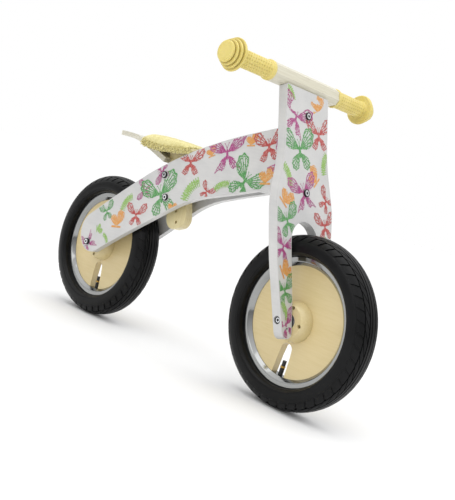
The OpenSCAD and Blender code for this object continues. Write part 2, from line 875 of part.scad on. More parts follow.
// Outer rings with their seals, and the balls
bearing_mid = hub_half - bearing_w / 2;
ball_circle = (axle_r + ring_t + bearing_r - ring_t) / 2;
seal_t = 0.6;
module bearing_outers() {
  color("silver") both_sides() {
    difference() {
      cross_rod([0, 0], bearing_r, hub_half - bearing_w, hub_half);
      cross_rod([0, 0], bearing_r - ring_t, hub_half - bearing_w + seal_t, hub_half - seal_t);
      cross_rod([0, 0], axle_r + ring_t + 0.4, 0, hub_half + past);
    }
    for (i = [0:balls - 1]) rotate([0, 360 * i / balls, 0])
      translate([ball_circle, bearing_mid, 0]) sphere(r = ball_fit_r);
  }
}
ball_fit_r = min(ball_r, (bearing_r - axle_r - 2 * ring_t) / 2 - 0.05);

valve_root_r = tube_mid_r - tube_r + 0.8;
module valve() {
  color("black") {
    translate([0, 0, -valve_root_r]) cylinder(r = valve_r, h = valve_root_r - valve_top_r - 12);
    translate([0, 0, -valve_top_r - 12]) cylinder(r = 2.7, h = 5);
    translate([0, 0, -valve_top_r - 7]) cylinder(r = 2.4, h = 6);
  }
}

module valve_cap() {
  color("dimgray") translate([0, 0, -valve_top_r - 7]) difference() {
    cylinder(r = 3.6, h = cap_l);
    translate([0, 0, -past]) cylinder(r = 2.4, h = 6 + past);
  }
}

// ---------- Seat ----------

// Lowest free y on the outer face under a cap centred at p
function cap_seat_y(p) = half_gap(p.x + bolt_head_r) + board_t - 0.2;
cap_points = [low_bolt_p, top_bolt_p];

// Points of the seat base's lower face, from the rear edge to the front edge
base_steps = 10;
function base_low(x) =
  let (dx = x - base_p.x, r = dx < 0 ? base_rear_r : base_front_r)
  base_p.y + r - sqrt(r * r - dx * dx);
function base_line(x0, x1, off) =
  [for (i = [0:base_steps]) let (x = x0 + (x1 - x0) * i / base_steps) [x, base_low(x) + off]];

post_top_rear = base_p.x + 3;
post_top_front = post_top_rear + post_w * 1.28;
post_outline = rounded(
  concat(
    [
      post_low_p - post_w / 2 * post_fwd,
      post_low_p + post_w / 2 * post_fwd,
      top_bolt_p + post_w / 2 * post_fwd
    ],
    reversed(base_line(post_top_rear, post_top_front, 0)),
    [top_bolt_p - post_w / 2 * post_fwd]
  ),
  concat([22, 22, 20], [for (i = [0:base_steps]) 0], [40])
);

// Tail strip: straight from the post, then bent to level at its tip.
// Its upper face touches the seat base where the base has the strip's own slope.
tail_touch_x = base_p.x - base_rear_r * sin(tail_slope);
tail_touch = [tail_touch_x, base_low(tail_touch_x)];
tail_dir = [cos(tail_slope), -sin(tail_slope)];
tail_up = [sin(tail_slope), cos(tail_slope)];
tail_bend_p = tail_touch - tail_t * tail_up - tail_back * tail_dir;
tail_front_p = tail_bend_p + tail_straight * tail_dir;
tail_bend_c = tail_bend_p + tail_bend_r * -tail_up;
function tail_arc(r) = [
  for (i = [0:6]) tail_bend_c + r * [sin(tail_slope * (1 - i / 6)), cos(tail_slope * (1 - i / 6))]
];
tail_outline = concat(
  [tail_front_p],
  tail_arc(tail_bend_r),
  [tail_arc(tail_bend_r)[6] - [tail_tip, 0], tail_arc(tail_bend_r + tail_t)[6] - [tail_tip, 0]],
  reversed(tail_arc(tail_bend_r + tail_t)),
  [tail_front_p + tail_t * tail_up]
);

module tail_solid(grow) {
  across(-tail_w / 2 - grow, tail_w / 2 + grow) polygon(tail_outline);
}

module seat_post() {
  color("burlywood") difference() {
    across(-post_t / 2, post_t / 2) polygon(post_outline);
    for (i = [0:2 + spare_holes])
      cross_rod(top_bolt_p - i * hole_pitch * post_up, post_hole_r, -post_t, post_t);
    tail_solid(0);
    for (p = seat_screw_points) translate([p.x, 0, base_low(p.x) - 22])
      cylinder(r = 1.75, h = 40);
  }
}

module seat_post_spacers() {
  color("dimgray") both_sides() for (p = cap_points) difference() {
    intersection() {
      cross_rod(p, spacer_r, post_t / 2, rear_half_gap);
      linear_extrude(height = plan_top_z)
        polygon(concat([[plan_rear_x, 0]], [[plan_rear_x, rear_half_gap]], plan_line(0),
          [[plan_front_x, head_half_gap], [plan_front_x, 0]]));
    }
    cross_rod(p, bolt_r, 0, rear_half_gap);
  }
}

// Studs through both boards and the post, closed by a socket cap on each side
module seat_post_bolts() {
  color("silver") for (p = cap_points)
    cross_rod(p, bolt_r, -cap_seat_y(p) - 1, cap_seat_y(p) + 1);
}

module seat_post_caps() {
  color("gainsboro") both_sides() for (p = cap_points) difference() {
    translate([p.x, 0, p.y]) socket_head(cap_seat_y(p));
    cross_rod(p, bolt_r, 0, cap_seat_y(p) + 1);
  }
}

// Plan outline of the seat: wide and round at the rear, narrow at the nose
seat_nose_half = seat_half_w * 0.62;
function seat_plan(inset) = rounded(
  [
    [seat_rear_x + inset, -seat_half_w + inset], [seat_rear_x + 95, -seat_half_w + inset],
    [seat_front_x - inset, -seat_nose_half + inset],
    [seat_front_x - inset, seat_nose_half - inset],
    [seat_rear_x + 95, seat_half_w - inset], [seat_rear_x + inset, seat_half_w - inset]
  ],
  [38, 120, 22, 22, 120, 38]
);
seat_screw_points = [for (k = [0.28, 0.72])
  [post_top_rear + k * (post_top_front - post_top_rear), 0]];

module seat_base() {
  color("burlywood") difference() {
    intersection() {
      across(-seat_half_w - past, seat_half_w + past)
        polygon(concat(
          base_line(seat_rear_x - past, seat_front_x + past, 0),
          reversed(base_line(seat_rear_x - past, seat_front_x + past, base_t))
        ));
      linear_extrude(height = plan_top_z) polygon(seat_plan(1.5));
    }
    for (p = seat_screw_points) translate([p.x, 0, base_low(p.x) - 22])
      cylinder(r = 1.75, h = 60);
  }
}

cushion_top_z = base_p.y + base_t + cushion_t;
module seat_cushion() {
  color("palegoldenrod") intersection() {
    across(-seat_half_w - past, seat_half_w + past)
      polygon(concat(
        base_line(seat_rear_x - past, seat_front_x + past, base_t + 0.1),
        [[seat_front_x + past, cushion_top_z - 8], [seat_front_x - 50, cushion_top_z - 3],
          [base_p.x + 10, cushion_top_z - 3], [base_p.x - 35, cushion_top_z],
          [seat_rear_x - past, cushion_top_z - 5]]
      ));
    linear_extrude(height = plan_top_z) polygon(seat_plan(0));
  }
}

module seat_tail() {
  color("burlywood") difference() {
    tail_solid(0);
    at_tail_screws() cylinder(r = 1.75, h = 3 * tail_t, center = true);
  }
}

// Places on the tail strip of the screws up into the seat base
module at_tail_screws() {
  for (y = [-14, 14]) translate([tail_touch.x, y, tail_touch.y]) rotate([0, tail_slope, 0])
    children();
}

// Two screws down through the base into the post, two up through the tail
module seat_screws() {
  color("silver") {
    for (p = seat_screw_points) translate([p.x, 0, base_low(p.x) - 21])
      cylinder(r = 1.75, h = 21 + base_t);
    at_tail_screws() {
      translate([0, 0, -tail_t]) cylinder(r = 1.75, h = tail_t - 0.2);
      translate([0, 0, -tail_t - 1.2]) cylinder(r = 3.5, h = 1.2);
    }
  }
}

// Staples that hold the gathered cover to the underside of the base
module seat_staples() {
  color("silver") both_sides() for (i = [0:staples - 1])
    let (
      x = seat_rear_x + 24 + i * (seat_l - 60) / (staples - 1),
      half = x < seat_rear_x + 95 ? seat_half_w
        : seat_half_w + (seat_nose_half - seat_half_w) * (x - seat_rear_x - 95) / (seat_l - 95)
    )
    translate([x - 4.5, half - 10, base_low(x) - 0.6]) cube([9, 1.2, 1]);
}

// ---------- Nodes ----------

module front_tyre() { at_front_wheel() tyre(); }
module front_inner_tube() { at_front_wheel() inner_tube(); }
module front_rim() { at_front_wheel() rim(); }
module front_disc() { at_front_wheel() disc(); }
module front_hub_bosses() { at_front_wheel() hub_bosses(); }
module front_hub_screws() { at_front_wheel() hub_screws(); }
module front_rim_screws() { at_front_wheel() rim_screws(); }
module front_bearing_outers() { at_front_wheel() bearing_outers(); }
module front_valve() { at_front_wheel() valve(); }
module front_valve_cap() { at_front_wheel() valve_cap(); }
module rear_tyre() { at_rear_wheel() tyre(); }
module rear_inner_tube() { at_rear_wheel() inner_tube(); }
module rear_rim() { at_rear_wheel() rim(); }
module rear_disc() { at_rear_wheel() disc(); }
module rear_hub_bosses() { at_rear_wheel() hub_bosses(); }
module rear_hub_screws() { at_rear_wheel() hub_screws(); }
module rear_rim_screws() { at_rear_wheel() rim_screws(); }
module rear_bearing_outers() { at_rear_wheel() bearing_outers(); }
module rear_valve() { at_rear_wheel() valve(); }
module rear_valve_cap() { at_rear_wheel() valve_cap(); }

side_panel_right();
side_panel_left();
head_block();
head_dowels();
head_bushes();
seat_post();
seat_post_spacers();
seat_post_bolts();
seat_post_caps();
seat_base();
seat_cushion();
seat_tail();
seat_screws();
seat_staples();
rear_axle();
rear_axle_bolts();
rear_axle_washers();
rear_axle_spacers();
rear_bearing_inners();
fork_panel();
handlebar();
bar_screws();
bar_dowels();
grip_right();
grip_left();
steering_pin();
steering_nut();
steering_spacers();
eye_bolts();
eye_nuts();
eye_washers();
fork_cap_nuts();
front_axle();
front_axle_bolts();
front_axle_washers();
front_axle_spacers();
front_bearing_inners();
leg_grub_screws();
front_tyre();
front_inner_tube();
front_rim();
front_disc();
front_hub_bosses();
front_hub_screws();
front_rim_screws();
front_bearing_outers();
front_valve();
front_valve_cap();
rear_tyre();
rear_inner_tube();
rear_rim();
rear_disc();
rear_hub_bosses();
rear_hub_screws();
rear_rim_screws();
rear_bearing_outers();
rear_valve();
rear_valve_cap();
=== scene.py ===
# A child's balance bike: two bent plywood side boards, a plywood fork board on a steel
# steering pin, wooden disc wheels with air tyres, a padded seat and a wooden handlebar.
# Metres, +X forward, +Y to the rider's left, +Z up, origin on the ground between the axles.
import json
import math

import bmesh
import bpy
import numpy as np
from mathutils import Matrix, Vector, noise
from mathutils.bvhtree import BVHTree


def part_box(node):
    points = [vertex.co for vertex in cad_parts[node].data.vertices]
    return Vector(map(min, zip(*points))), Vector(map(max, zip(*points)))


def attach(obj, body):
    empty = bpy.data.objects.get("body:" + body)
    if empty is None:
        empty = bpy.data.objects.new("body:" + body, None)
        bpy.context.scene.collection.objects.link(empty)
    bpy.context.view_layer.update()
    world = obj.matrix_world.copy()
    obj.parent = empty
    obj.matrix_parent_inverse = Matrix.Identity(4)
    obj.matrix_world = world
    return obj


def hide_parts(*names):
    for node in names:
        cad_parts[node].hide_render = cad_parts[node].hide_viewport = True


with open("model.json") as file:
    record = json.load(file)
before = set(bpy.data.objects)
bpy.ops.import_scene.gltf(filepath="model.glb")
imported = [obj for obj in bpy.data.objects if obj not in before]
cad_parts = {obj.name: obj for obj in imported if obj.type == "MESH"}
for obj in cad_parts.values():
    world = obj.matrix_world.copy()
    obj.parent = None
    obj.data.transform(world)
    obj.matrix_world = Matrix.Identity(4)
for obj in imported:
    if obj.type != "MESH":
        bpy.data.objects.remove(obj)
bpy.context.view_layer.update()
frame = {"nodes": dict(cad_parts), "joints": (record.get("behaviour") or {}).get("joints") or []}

# ---------------------------------------------------------------------------------------
# Viewpoint and studio: a low three-quarter view from the front right, on a pale sweep,
# under a large overhead softbox, with weaker ones to the right and in front.
# ---------------------------------------------------------------------------------------
VIEW_AZIMUTH = math.radians(44.07)
VIEW_ELEVATION = math.radians(2.71)
VIEW_ROLL = math.radians(15.32)
CAMERA_PLACE = Vector((1.1594, -1.1537, 0.3488))
LENS_MM = 60.37

toward_eye = Vector(
    (
        math.sin(VIEW_AZIMUTH) * math.cos(VIEW_ELEVATION),
        -math.cos(VIEW_AZIMUTH) * math.cos(VIEW_ELEVATION),
        math.sin(VIEW_ELEVATION),
    )
)
level_right = Vector((math.cos(VIEW_AZIMUTH), math.sin(VIEW_AZIMUTH), 0.0))
level_up = toward_eye.cross(level_right)
view_right = math.cos(VIEW_ROLL) * level_right + math.sin(VIEW_ROLL) * level_up
view_up = math.cos(VIEW_ROLL) * level_up - math.sin(VIEW_ROLL) * level_right

camera_data = bpy.data.cameras.new("camera")
camera_data.lens = LENS_MM
camera_data.sensor_fit = "AUTO"
camera_data.sensor_width = 36.0
camera_data.shift_x = 0.0104
camera_data.shift_y = -0.051
camera_data.clip_start = 0.05
camera_data.clip_end = 60.0
camera = bpy.data.objects.new("camera", camera_data)
bpy.context.scene.collection.objects.link(camera)
camera.matrix_world = Matrix.Translation(CAMERA_PLACE) @ Matrix(
    (view_right, view_up, toward_eye)
).transposed().to_4x4()
bpy.context.scene.camera = camera


def linear(hex_colour):
    """sRGB hex such as "#c43e8a" as linear RGBA."""
    channels = [int(hex_colour[i : i + 2], 16) / 255 for i in (1, 3, 5)]
    return [c / 12.92 if c <= 0.04045 else ((c + 0.055) / 1.055) ** 2.4 for c in channels] + [1.0]


def link_inputs(node, links):
    """Links a node's inputs to sockets, or to the first outputs of other nodes."""
    for name, source in links.items():
        socket = source.outputs[0] if isinstance(source, bpy.types.Node) else source
        node.id_data.links.new(socket, node.inputs[name])


def add_node(tree, kind, settings=None, links=None):
    """Adds a node. settings are its properties, its input values, or two (place, colour)
    stops for its colour ramp, and links are its {input: socket or node}."""
    node = tree.nodes.new(kind)
    for name, value in (settings or {}).items():
        if name == "color_ramp":
            for stop, (position, colour) in zip(node.color_ramp.elements, value):
                stop.position = position
                stop.color = linear(colour)
        elif isinstance(name, str) and hasattr(node, name):
            setattr(node, name, value)
        else:
            node.inputs[name].default_value = value
    link_inputs(node, links or {})
    return node


def new_material(name, shader_settings):
    """A material with one Principled shader, whose constants are set on its own sockets."""
    material = bpy.data.materials.new(name)
    material.use_nodes = True
    tree = material.node_tree
    shader = tree.nodes["Principled BSDF"]
    for socket, value in shader_settings.items():
        shader.inputs[socket].default_value = value
    return material, tree, shader


sweep_paper, _, _ = new_material(
    "matt white sweep paper",
    {"Base Color": linear("#f0f0f0"), "Roughness": 1.0, "Specular IOR Level": 0.1},
)
floor_mesh = bpy.data.meshes.new("floor")
floor_mesh.from_pydata([(-30, -30, 0), (30, -30, 0), (30, 30, 0), (-30, 30, 0)], [], [(0, 1, 2, 3)])
floor_mesh.materials.append(sweep_paper)
floor = bpy.data.objects.new("floor", floor_mesh)
bpy.context.scene.collection.objects.link(floor)

# The room is a white dome, dim at the horizon and bright overhead, seen as plain white paper
DOME_LOW = 0.34
DOME_HIGH = 1.62
world = bpy.data.worlds.new("white room")
world.use_nodes = True
room = world.node_tree
direction = add_node(room, "ShaderNodeTexCoord").outputs["Generated"]
direction_axes = add_node(room, "ShaderNodeSeparateXYZ", links={"Vector": direction})
dome = add_node(
    room, "ShaderNodeMapRange", {"To Min": DOME_LOW, "To Max": DOME_HIGH},
    {"Value": direction_axes.outputs["Z"]},
)
ray = add_node(room, "ShaderNodeLightPath")
strength = add_node(
    room, "ShaderNodeMix", {"data_type": "FLOAT", 3: 1.0}, {0: ray.outputs["Is Camera Ray"], 2: dome}
)
link_inputs(room.nodes["Background"], {"Strength": strength})
room.nodes["Background"].inputs["Color"].default_value = linear("#ffffff")
bpy.context.scene.world = world


def add_softbox(name, place, aim, width, power):
    """A square studio light at place, turned to aim, width in metres and power in watts."""
    lamp = bpy.data.lights.new(name, "AREA")
    lamp.shape = "SQUARE"
    lamp.size = width
    lamp.energy = power
    softbox = bpy.data.objects.new(name, lamp)
    bpy.context.scene.collection.objects.link(softbox)
    direction = Vector(aim) - Vector(place)
    softbox.matrix_world = (
        Matrix.Translation(place) @ direction.to_track_quat("-Z", "Y").to_matrix().to_4x4()
    )


add_softbox("overhead softbox", (0.3, -0.4, 2.3), (0.0, 0.0, 0.3), 1.8, 10.0)
add_softbox("right softbox", (0.4, -2.4, 1.3), (0.0, 0.0, 0.3), 1.3, 6.0)
add_softbox("front softbox", (2.6, 0.5, 1.1), (0.1, 0.0, 0.3), 1.0, 3.0)
bpy.context.scene.view_settings.view_transform = "Standard"

# ---------------------------------------------------------------------------------------
# Plywood boards: the two bent side boards, the fork board, and the small plywood pieces
# of the seat and head. Routed from birch ply, their edges eased with sandpaper, then
# lacquered silver-grey or varnished clear.
# ---------------------------------------------------------------------------------------
EDGE_EASE = 0.0013
SHARP_ANGLE = math.radians(28)
VENEER = 0.0014
GLUE_LINE = 0.00028


def merged_copy(node):
    """The CAD node's mesh with its loose triangles joined into flat faces, as a bmesh."""
    solid = bmesh.new()
    solid.from_mesh(frame["nodes"][node].data)
    bmesh.ops.remove_doubles(solid, verts=solid.verts, dist=2e-6)
    bmesh.ops.dissolve_degenerate(solid, edges=solid.edges, dist=1e-6)
    bmesh.ops.dissolve_limit(
        solid, angle_limit=math.radians(0.4), verts=solid.verts, edges=solid.edges
    )
    return solid


def add_piece(name, mesh, body, material=None):
    """A finished mesh as a piece that rides on a body."""
    if material:
        mesh.materials.append(material)
    piece = bpy.data.objects.new(name, mesh)
    bpy.context.scene.collection.objects.link(piece)
    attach(piece, body)
    return piece


def apply_modifiers(piece):
    """Bakes the object's modifiers into its mesh."""
    graph = bpy.context.evaluated_depsgraph_get()
    mesh = bpy.data.meshes.new_from_object(piece.evaluated_get(graph))
    mesh.name = piece.name
    piece.modifiers.clear()
    piece.data = mesh


def add_eased(name, node, body, material, ease):
    """A copy of a CAD node with its sharp edges rounded, which stands for the node."""
    solid = merged_copy(node)
    mesh = bpy.data.meshes.new(name)
    solid.to_mesh(mesh)
    solid.free()
    mesh.materials.append(material)
    piece = bpy.data.objects.new(name, mesh)
    bpy.context.scene.collection.objects.link(piece)
    bevel = piece.modifiers.new("eased edges", "BEVEL")
    bevel.width = ease
    bevel.segments = 3
    bevel.limit_method = "ANGLE"
    bevel.angle_limit = SHARP_ANGLE
    bevel.use_clamp_overlap = True
    apply_modifiers(piece)
    piece.data.shade_smooth()
    piece.data.set_sharp_from_angle(angle=math.radians(50))
    flat = piece.modifiers.new("flat faces", "WEIGHTED_NORMAL")
    flat.keep_sharp = True
    apply_modifiers(piece)
    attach(piece, body)
    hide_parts(node)
    return piece


def silver_lacquer():
    """Silver-grey lacquer rolled on plywood: satin, with a faint orange peel and the
    veneer's grain just telegraphing through."""
    material, tree, shader = new_material(
        "silver-grey lacquered birch ply",
        {"Roughness": 0.36, "Coat Weight": 0.25, "Coat Roughness": 0.22, "Specular IOR Level": 0.5},
    )
    place = add_node(tree, "ShaderNodeTexCoord").outputs["Object"]
    # Grain telegraphs as streaks about 3 mm apart and 60 mm long
    streak_space = add_node(
        tree, "ShaderNodeMapping", {"Scale": (18.0, 320.0, 320.0), "Rotation": (0, 0.5, 0)},
        {"Vector": place},
    )
    streaks = add_node(
        tree, "ShaderNodeTexNoise", {"Scale": 1.0, "Detail": 4.0, "Roughness": 0.6},
        {"Vector": streak_space},
    )
    cloud = add_node(
        tree, "ShaderNodeTexNoise", {"Scale": 14.0, "Detail": 3.0, "Roughness": 0.6}, {"Vector": place}
    )
    mix = add_node(
        tree, "ShaderNodeMath", {"operation": "MULTIPLY_ADD", 1: 0.4}, {0: streaks, 2: cloud}
    )
    tint = add_node(
        tree, "ShaderNodeValToRGB", {"color_ramp": ((0.45, "#bdbdbd"), (0.95, "#cdccca"))}, {"Fac": mix}
    )
    peel = add_node(
        tree, "ShaderNodeTexNoise", {"Scale": 700.0, "Detail": 2.0, "Roughness": 0.6}, {"Vector": place}
    )
    relief = add_node(
        tree, "ShaderNodeMath", {"operation": "MULTIPLY_ADD", 1: 0.6}, {0: streaks, 2: peel}
    )
    bump = add_node(
        tree, "ShaderNodeBump", {"Strength": 0.12, "Distance": 0.0004}, {"Height": relief}
    )
    link_inputs(shader, {"Base Color": tint, "Normal": bump})
    return material


def varnished_birch(name, pale, deep, along, across_grain, edge_lines=0.35, relief=0.15):
    """Birch ply under clear varnish. The face veneer's grain runs along one axis, and the
    edges show the stacked veneers as thin darker glue lines."""
    material, tree, shader = new_material(
        name,
        {"Roughness": 0.42, "Coat Weight": 0.35, "Coat Roughness": 0.18},
    )
    place = add_node(tree, "ShaderNodeTexCoord").outputs["Object"]
    stretch = [26.0 if axis == along else 340.0 for axis in range(3)]
    grain_space = add_node(tree, "ShaderNodeMapping", {"Scale": stretch}, {"Vector": place})
    grain = add_node(
        tree, "ShaderNodeTexNoise", {"Scale": 1.0, "Detail": 6.0, "Roughness": 0.6},
        {"Vector": grain_space},
    )
    figure_space = add_node(
        tree, "ShaderNodeMapping", {"Scale": [s / 12 for s in stretch]}, {"Vector": place}
    )
    figure = add_node(
        tree, "ShaderNodeTexNoise", {"Scale": 1.0, "Detail": 2.0, "Roughness": 0.6},
        {"Vector": figure_space},
    )
    mix = add_node(
        tree, "ShaderNodeMath", {"operation": "MULTIPLY_ADD", 1: 0.8}, {0: figure, 2: grain}
    )
    tint = add_node(
        tree, "ShaderNodeValToRGB", {"color_ramp": ((0.55, deep), (1.15, pale))}, {"Fac": mix}
    )
    axes = add_node(tree, "ShaderNodeSeparateXYZ", links={"Vector": place})
    veneer = add_node(
        tree, "ShaderNodeMath", {"operation": "WRAP", 1: VENEER, 2: 0.0}, {0: axes.outputs[across_grain]}
    )
    glue_line = add_node(
        tree, "ShaderNodeMath", {"operation": "LESS_THAN", 1: GLUE_LINE}, {0: veneer}
    )
    facing = add_node(tree, "ShaderNodeNewGeometry")
    normal_axes = add_node(tree, "ShaderNodeSeparateXYZ", links={"Vector": facing.outputs["True Normal"]})
    size = add_node(
        tree, "ShaderNodeMath", {"operation": "ABSOLUTE"}, {0: normal_axes.outputs[across_grain]}
    )
    on_edge = add_node(tree, "ShaderNodeMath", {"operation": "LESS_THAN", 1: 0.6}, {0: size})
    shown = add_node(tree, "ShaderNodeMath", {"operation": "MULTIPLY"}, {0: glue_line, 1: on_edge})
    amount = add_node(tree, "ShaderNodeMath", {"operation": "MULTIPLY", 1: edge_lines}, {0: shown})
    striped = add_node(
        tree, "ShaderNodeMix", {"data_type": "RGBA", 7: linear("#a98a58")}, {0: amount, 6: tint}
    )
    bump = add_node(
        tree, "ShaderNodeBump", {"Strength": relief, "Distance": 0.0004}, {"Height": grain}
    )
    link_inputs(shader, {"Base Color": striped.outputs[2], "Normal": bump})
    return material


X_AXIS, Y_AXIS, Z_AXIS = 0, 1, 2
board_lacquer = silver_lacquer()
post_birch = varnished_birch("varnished birch ply, upright", "#dccf9f", "#ccb984", Z_AXIS, Y_AXIS)
seat_birch = varnished_birch("varnished birch ply, lengthwise", "#d9cfae", "#c6b88f", X_AXIS, Z_AXIS)
tail_birch = varnished_birch("limed birch ply strip", "#d6d4c6", "#c6c3b2", X_AXIS, Z_AXIS)
beech, _, _ = new_material("plain beech dowel", {"Base Color": linear("#c9a06c"), "Roughness": 0.6})

for piece, node, body, material, ease in (
    ("right_side_board", "side_panel_right", "frame", board_lacquer, EDGE_EASE),
    ("left_side_board", "side_panel_left", "frame", board_lacquer, EDGE_EASE),
    ("fork_board", "fork_panel", "fork", board_lacquer, EDGE_EASE),
    ("head_core", "head_block", "frame", board_lacquer, 0.0008),
    ("seat_stem", "seat_post", "frame", post_birch, 0.0022),
    ("seat_shell", "seat_base", "frame", seat_birch, 0.0010),
    ("tail_strip", "seat_tail", "frame", tail_birch, 0.0018),
):
    add_eased(piece, node, body, material, ease)

# ---------------------------------------------------------------------------------------
# Print on the boards: butterflies and caterpillars in five inks, screen printed on the
# outer faces in a scratchy wood-cut manner. Each motif's ink is a thin skin laid on the
# board and trimmed at its edges and bolt holes.
# ---------------------------------------------------------------------------------------
INK_LIFT = 0.00012
INK_STEP = 0.000012
TRIM_INSET = 0.0016
TRIM_ZONE = 0.004
MOTIF_REACH = 0.075
GRID_MM = 1.0
GRUB_BEND = 46.0


def wing_ink(x, y, root, aim, spread, length, reach, stripes, tail, seed):
    """Ink of one wing as a signed distance in mm, positive where printed.
    aim and spread are degrees, reach is how square the outer margin is."""
    dx = x - root[0]
    dy = y - root[1]
    r = np.hypot(dx, dy)
    turn = (np.degrees(np.arctan2(dy, dx)) - aim + 180) % 360 - 180
    u = np.clip(turn / spread, -1, 1)
    # A forewing's point lies towards its leading edge, a hindwing's the other way
    skew = 0.34 if aim > 0 else -0.2
    tip = np.clip(u - skew * (1 - u**2), -1, 1)
    # The outer margin is slightly scalloped, and a tail grows from a swallowtail's hindwing
    margin = length * np.cos(tip * math.pi / 2) ** reach * (1 + 0.035 * np.cos(u * 16))
    if tail:
        margin = margin + tail * np.exp(-(((u - 0.25) / 0.13) ** 2))
    inside = np.minimum(margin - r, (1 - np.abs(turn / spread)) * 30)
    t = r / np.maximum(margin, 0.01)
    # Ink lies in a band along the margin, in veins that fan out from the root, in a patch at
    # the root, in one vein across and in loose scratches, and leaves a row of light spots
    band = (t - 0.85) * margin
    vein_turn = np.abs((u * stripes + 0.5) % 1 - 0.5) / stripes * spread
    veins = 0.78 - np.radians(vein_turn) * r
    root_patch = 0.17 * length - r
    cross_vein = 0.65 - np.abs(r - 0.56 * margin)
    grain = np.sin(x * 2.1 + seed) * np.sin(y * 1.7 - seed) + np.sin(x * 0.9 - y * 1.3 + seed * 2)
    scratches = np.minimum(grain - 0.8, (t - 0.56) * 20)
    light_spots = 0.9 - np.hypot((vein_turn - 0.25 * spread / stripes) * 0.4, (t - 0.9) * margin)
    ink = np.maximum.reduce([band, veins, root_patch, cross_vein, scratches * 0.8])
    ink = np.minimum(ink, -light_spots)
    return np.minimum(ink, inside)


def body_ink(x, y, length, width, feelers):
    """Ink of a butterfly's body with its two clubbed feelers, as a signed distance in mm."""
    body = width - np.hypot(x, y * width / length)
    lines = [body]
    for side in (-1, 1):
        curve = side * (0.6 + 0.03 * np.maximum(y - length, 0) ** 2 + 0.16 * np.maximum(y - length, 0))
        stroke = 0.5 - np.abs(x - curve)
        stroke = np.minimum(stroke, np.minimum(y - length * 0.8, length + feelers - y))
        club = 1.0 - np.hypot(x - side * (0.6 + 0.03 * feelers**2 + 0.16 * feelers), y - length - feelers)
        lines += [stroke, club]
    return np.maximum.reduce(lines)


def both_wings(x, y, wings):
    """The wings, given for the right side, drawn on both sides of the body."""
    parts = []
    for wing in wings:
        parts.append(wing_ink(x, y, *wing))
        parts.append(wing_ink(-x, y, *wing))
    return np.maximum.reduce(parts)


def swallowtail(x, y):
    wings = both_wings(
        x, y,
        [((1.5, 4), 27, 36, 46, 0.5, 4, 0, 1.0), ((1.5, -2), -54, 32, 27, 0.45, 3, 14, 4.0)],
    )
    return np.maximum(wings, body_ink(x, y, 10, 2.2, 9))


def round_wing(x, y):
    wings = both_wings(
        x, y,
        [((1.5, 4), 30, 38, 45, 0.38, 4, 0, 2.0), ((1.5, -2), -50, 36, 30, 0.34, 3, 0, 5.0)],
    )
    return np.maximum(wings, body_ink(x, y, 11, 2.6, 8))


def comma_wing(x, y):
    wings = both_wings(
        x, y,
        [((1.2, 3), 30, 36, 37, 0.5, 3, 0, 3.0), ((1.2, -1), -52, 34, 24, 0.42, 3, 4, 6.0)],
    )
    return np.maximum(wings, body_ink(x, y, 8, 2.4, 6))


def folded_wing(x, y):
    """Seen from the side, wings up and together, with most of the ink left on."""
    front = wing_ink(x, y, (0, -8), 62, 34, 36, 0.4, 3, 0, 7.0)
    back = wing_ink(x, y, (0, -8), 118, 34, 27, 0.35, 3, 0, 8.0)
    r = np.hypot(x, y + 8)
    turn = np.degrees(np.arctan2(y + 8, x))
    lobe = np.maximum(
        36 * np.clip(np.cos(np.radians(np.clip((turn - 62) / 34, -1, 1) * 90)), 0, 1) ** 0.4 - r,
        27 * np.clip(np.cos(np.radians(np.clip((turn - 118) / 34, -1, 1) * 90)), 0, 1) ** 0.35 - r,
    )
    grain = np.sin(x * 1.9) * np.sin(y * 2.3) + np.sin(x * 1.1 + y * 0.7)
    fill = np.minimum(lobe, 0.35 - grain)
    trunk = np.minimum(2.0 - np.abs(y + 9), 14 - np.abs(x))
    return np.maximum.reduce([front, back, fill, trunk])


def caterpillar(x, y):
    """A fat arched grub of nine segments, with short legs and a scratched-out back."""
    r = np.hypot(x, y + GRUB_BEND)
    along = np.degrees(np.arctan2(x, y + GRUB_BEND)) / 30
    spine = 6.2 * np.sqrt(np.clip(1 - along**2, 0, 1)) * (1 + 0.12 * np.cos(along * 28))
    trunk = spine - np.abs(r - GRUB_BEND)
    grooves = np.abs((along * 4.5 + 0.5) % 1 - 0.5) * 9 - 0.6
    hatching = 0.75 - np.sin(x * 2.3 + 1) * np.sin(y * 1.9) - np.sin(x * 0.8 + y * 1.4)
    grooves = np.minimum(grooves, np.maximum(hatching, np.abs(r - GRUB_BEND) - spine + 1.3))
    legs = np.minimum(
        0.9 - np.abs((along * 5.5 + 0.5) % 1 - 0.5) * 4.4, 9.0 - np.abs(r - GRUB_BEND + 1)
    )
    legs = np.minimum(legs, (1 - np.abs(along)) * 20)
    return np.maximum(np.minimum(trunk, grooves), legs)


def ink_faces(motif, half_width=52):
    """The motif's inked area as convex polygons in mm, found cell by cell on a grid."""
    line = np.arange(-half_width, half_width + GRID_MM, GRID_MM)
    x, y = np.meshgrid(line, line, indexing="ij")
    ink = motif(x, y)
    faces = []
    for i in range(len(line) - 1):
        for j in range(len(line) - 1):
            corners = ((i, j), (i + 1, j), (i + 1, j + 1), (i, j + 1))
            values = [ink[c] for c in corners]
            if max(values) <= 0:
                continue
            face = []
            for k in range(4):
                a, b = corners[k], corners[(k + 1) % 4]
                va, vb = values[k], values[(k + 1) % 4]
                if va > 0:
                    face.append((line[a[0]], line[a[1]]))
                if (va > 0) != (vb > 0):
                    share = va / (va - vb)
                    face.append(
                        (
                            line[a[0]] + share * (line[b[0]] - line[a[0]]),
                            line[a[1]] + share * (line[b[1]] - line[a[1]]),
                        )
                    )
            if len(face) > 2:
                faces.append(face)
    return faces


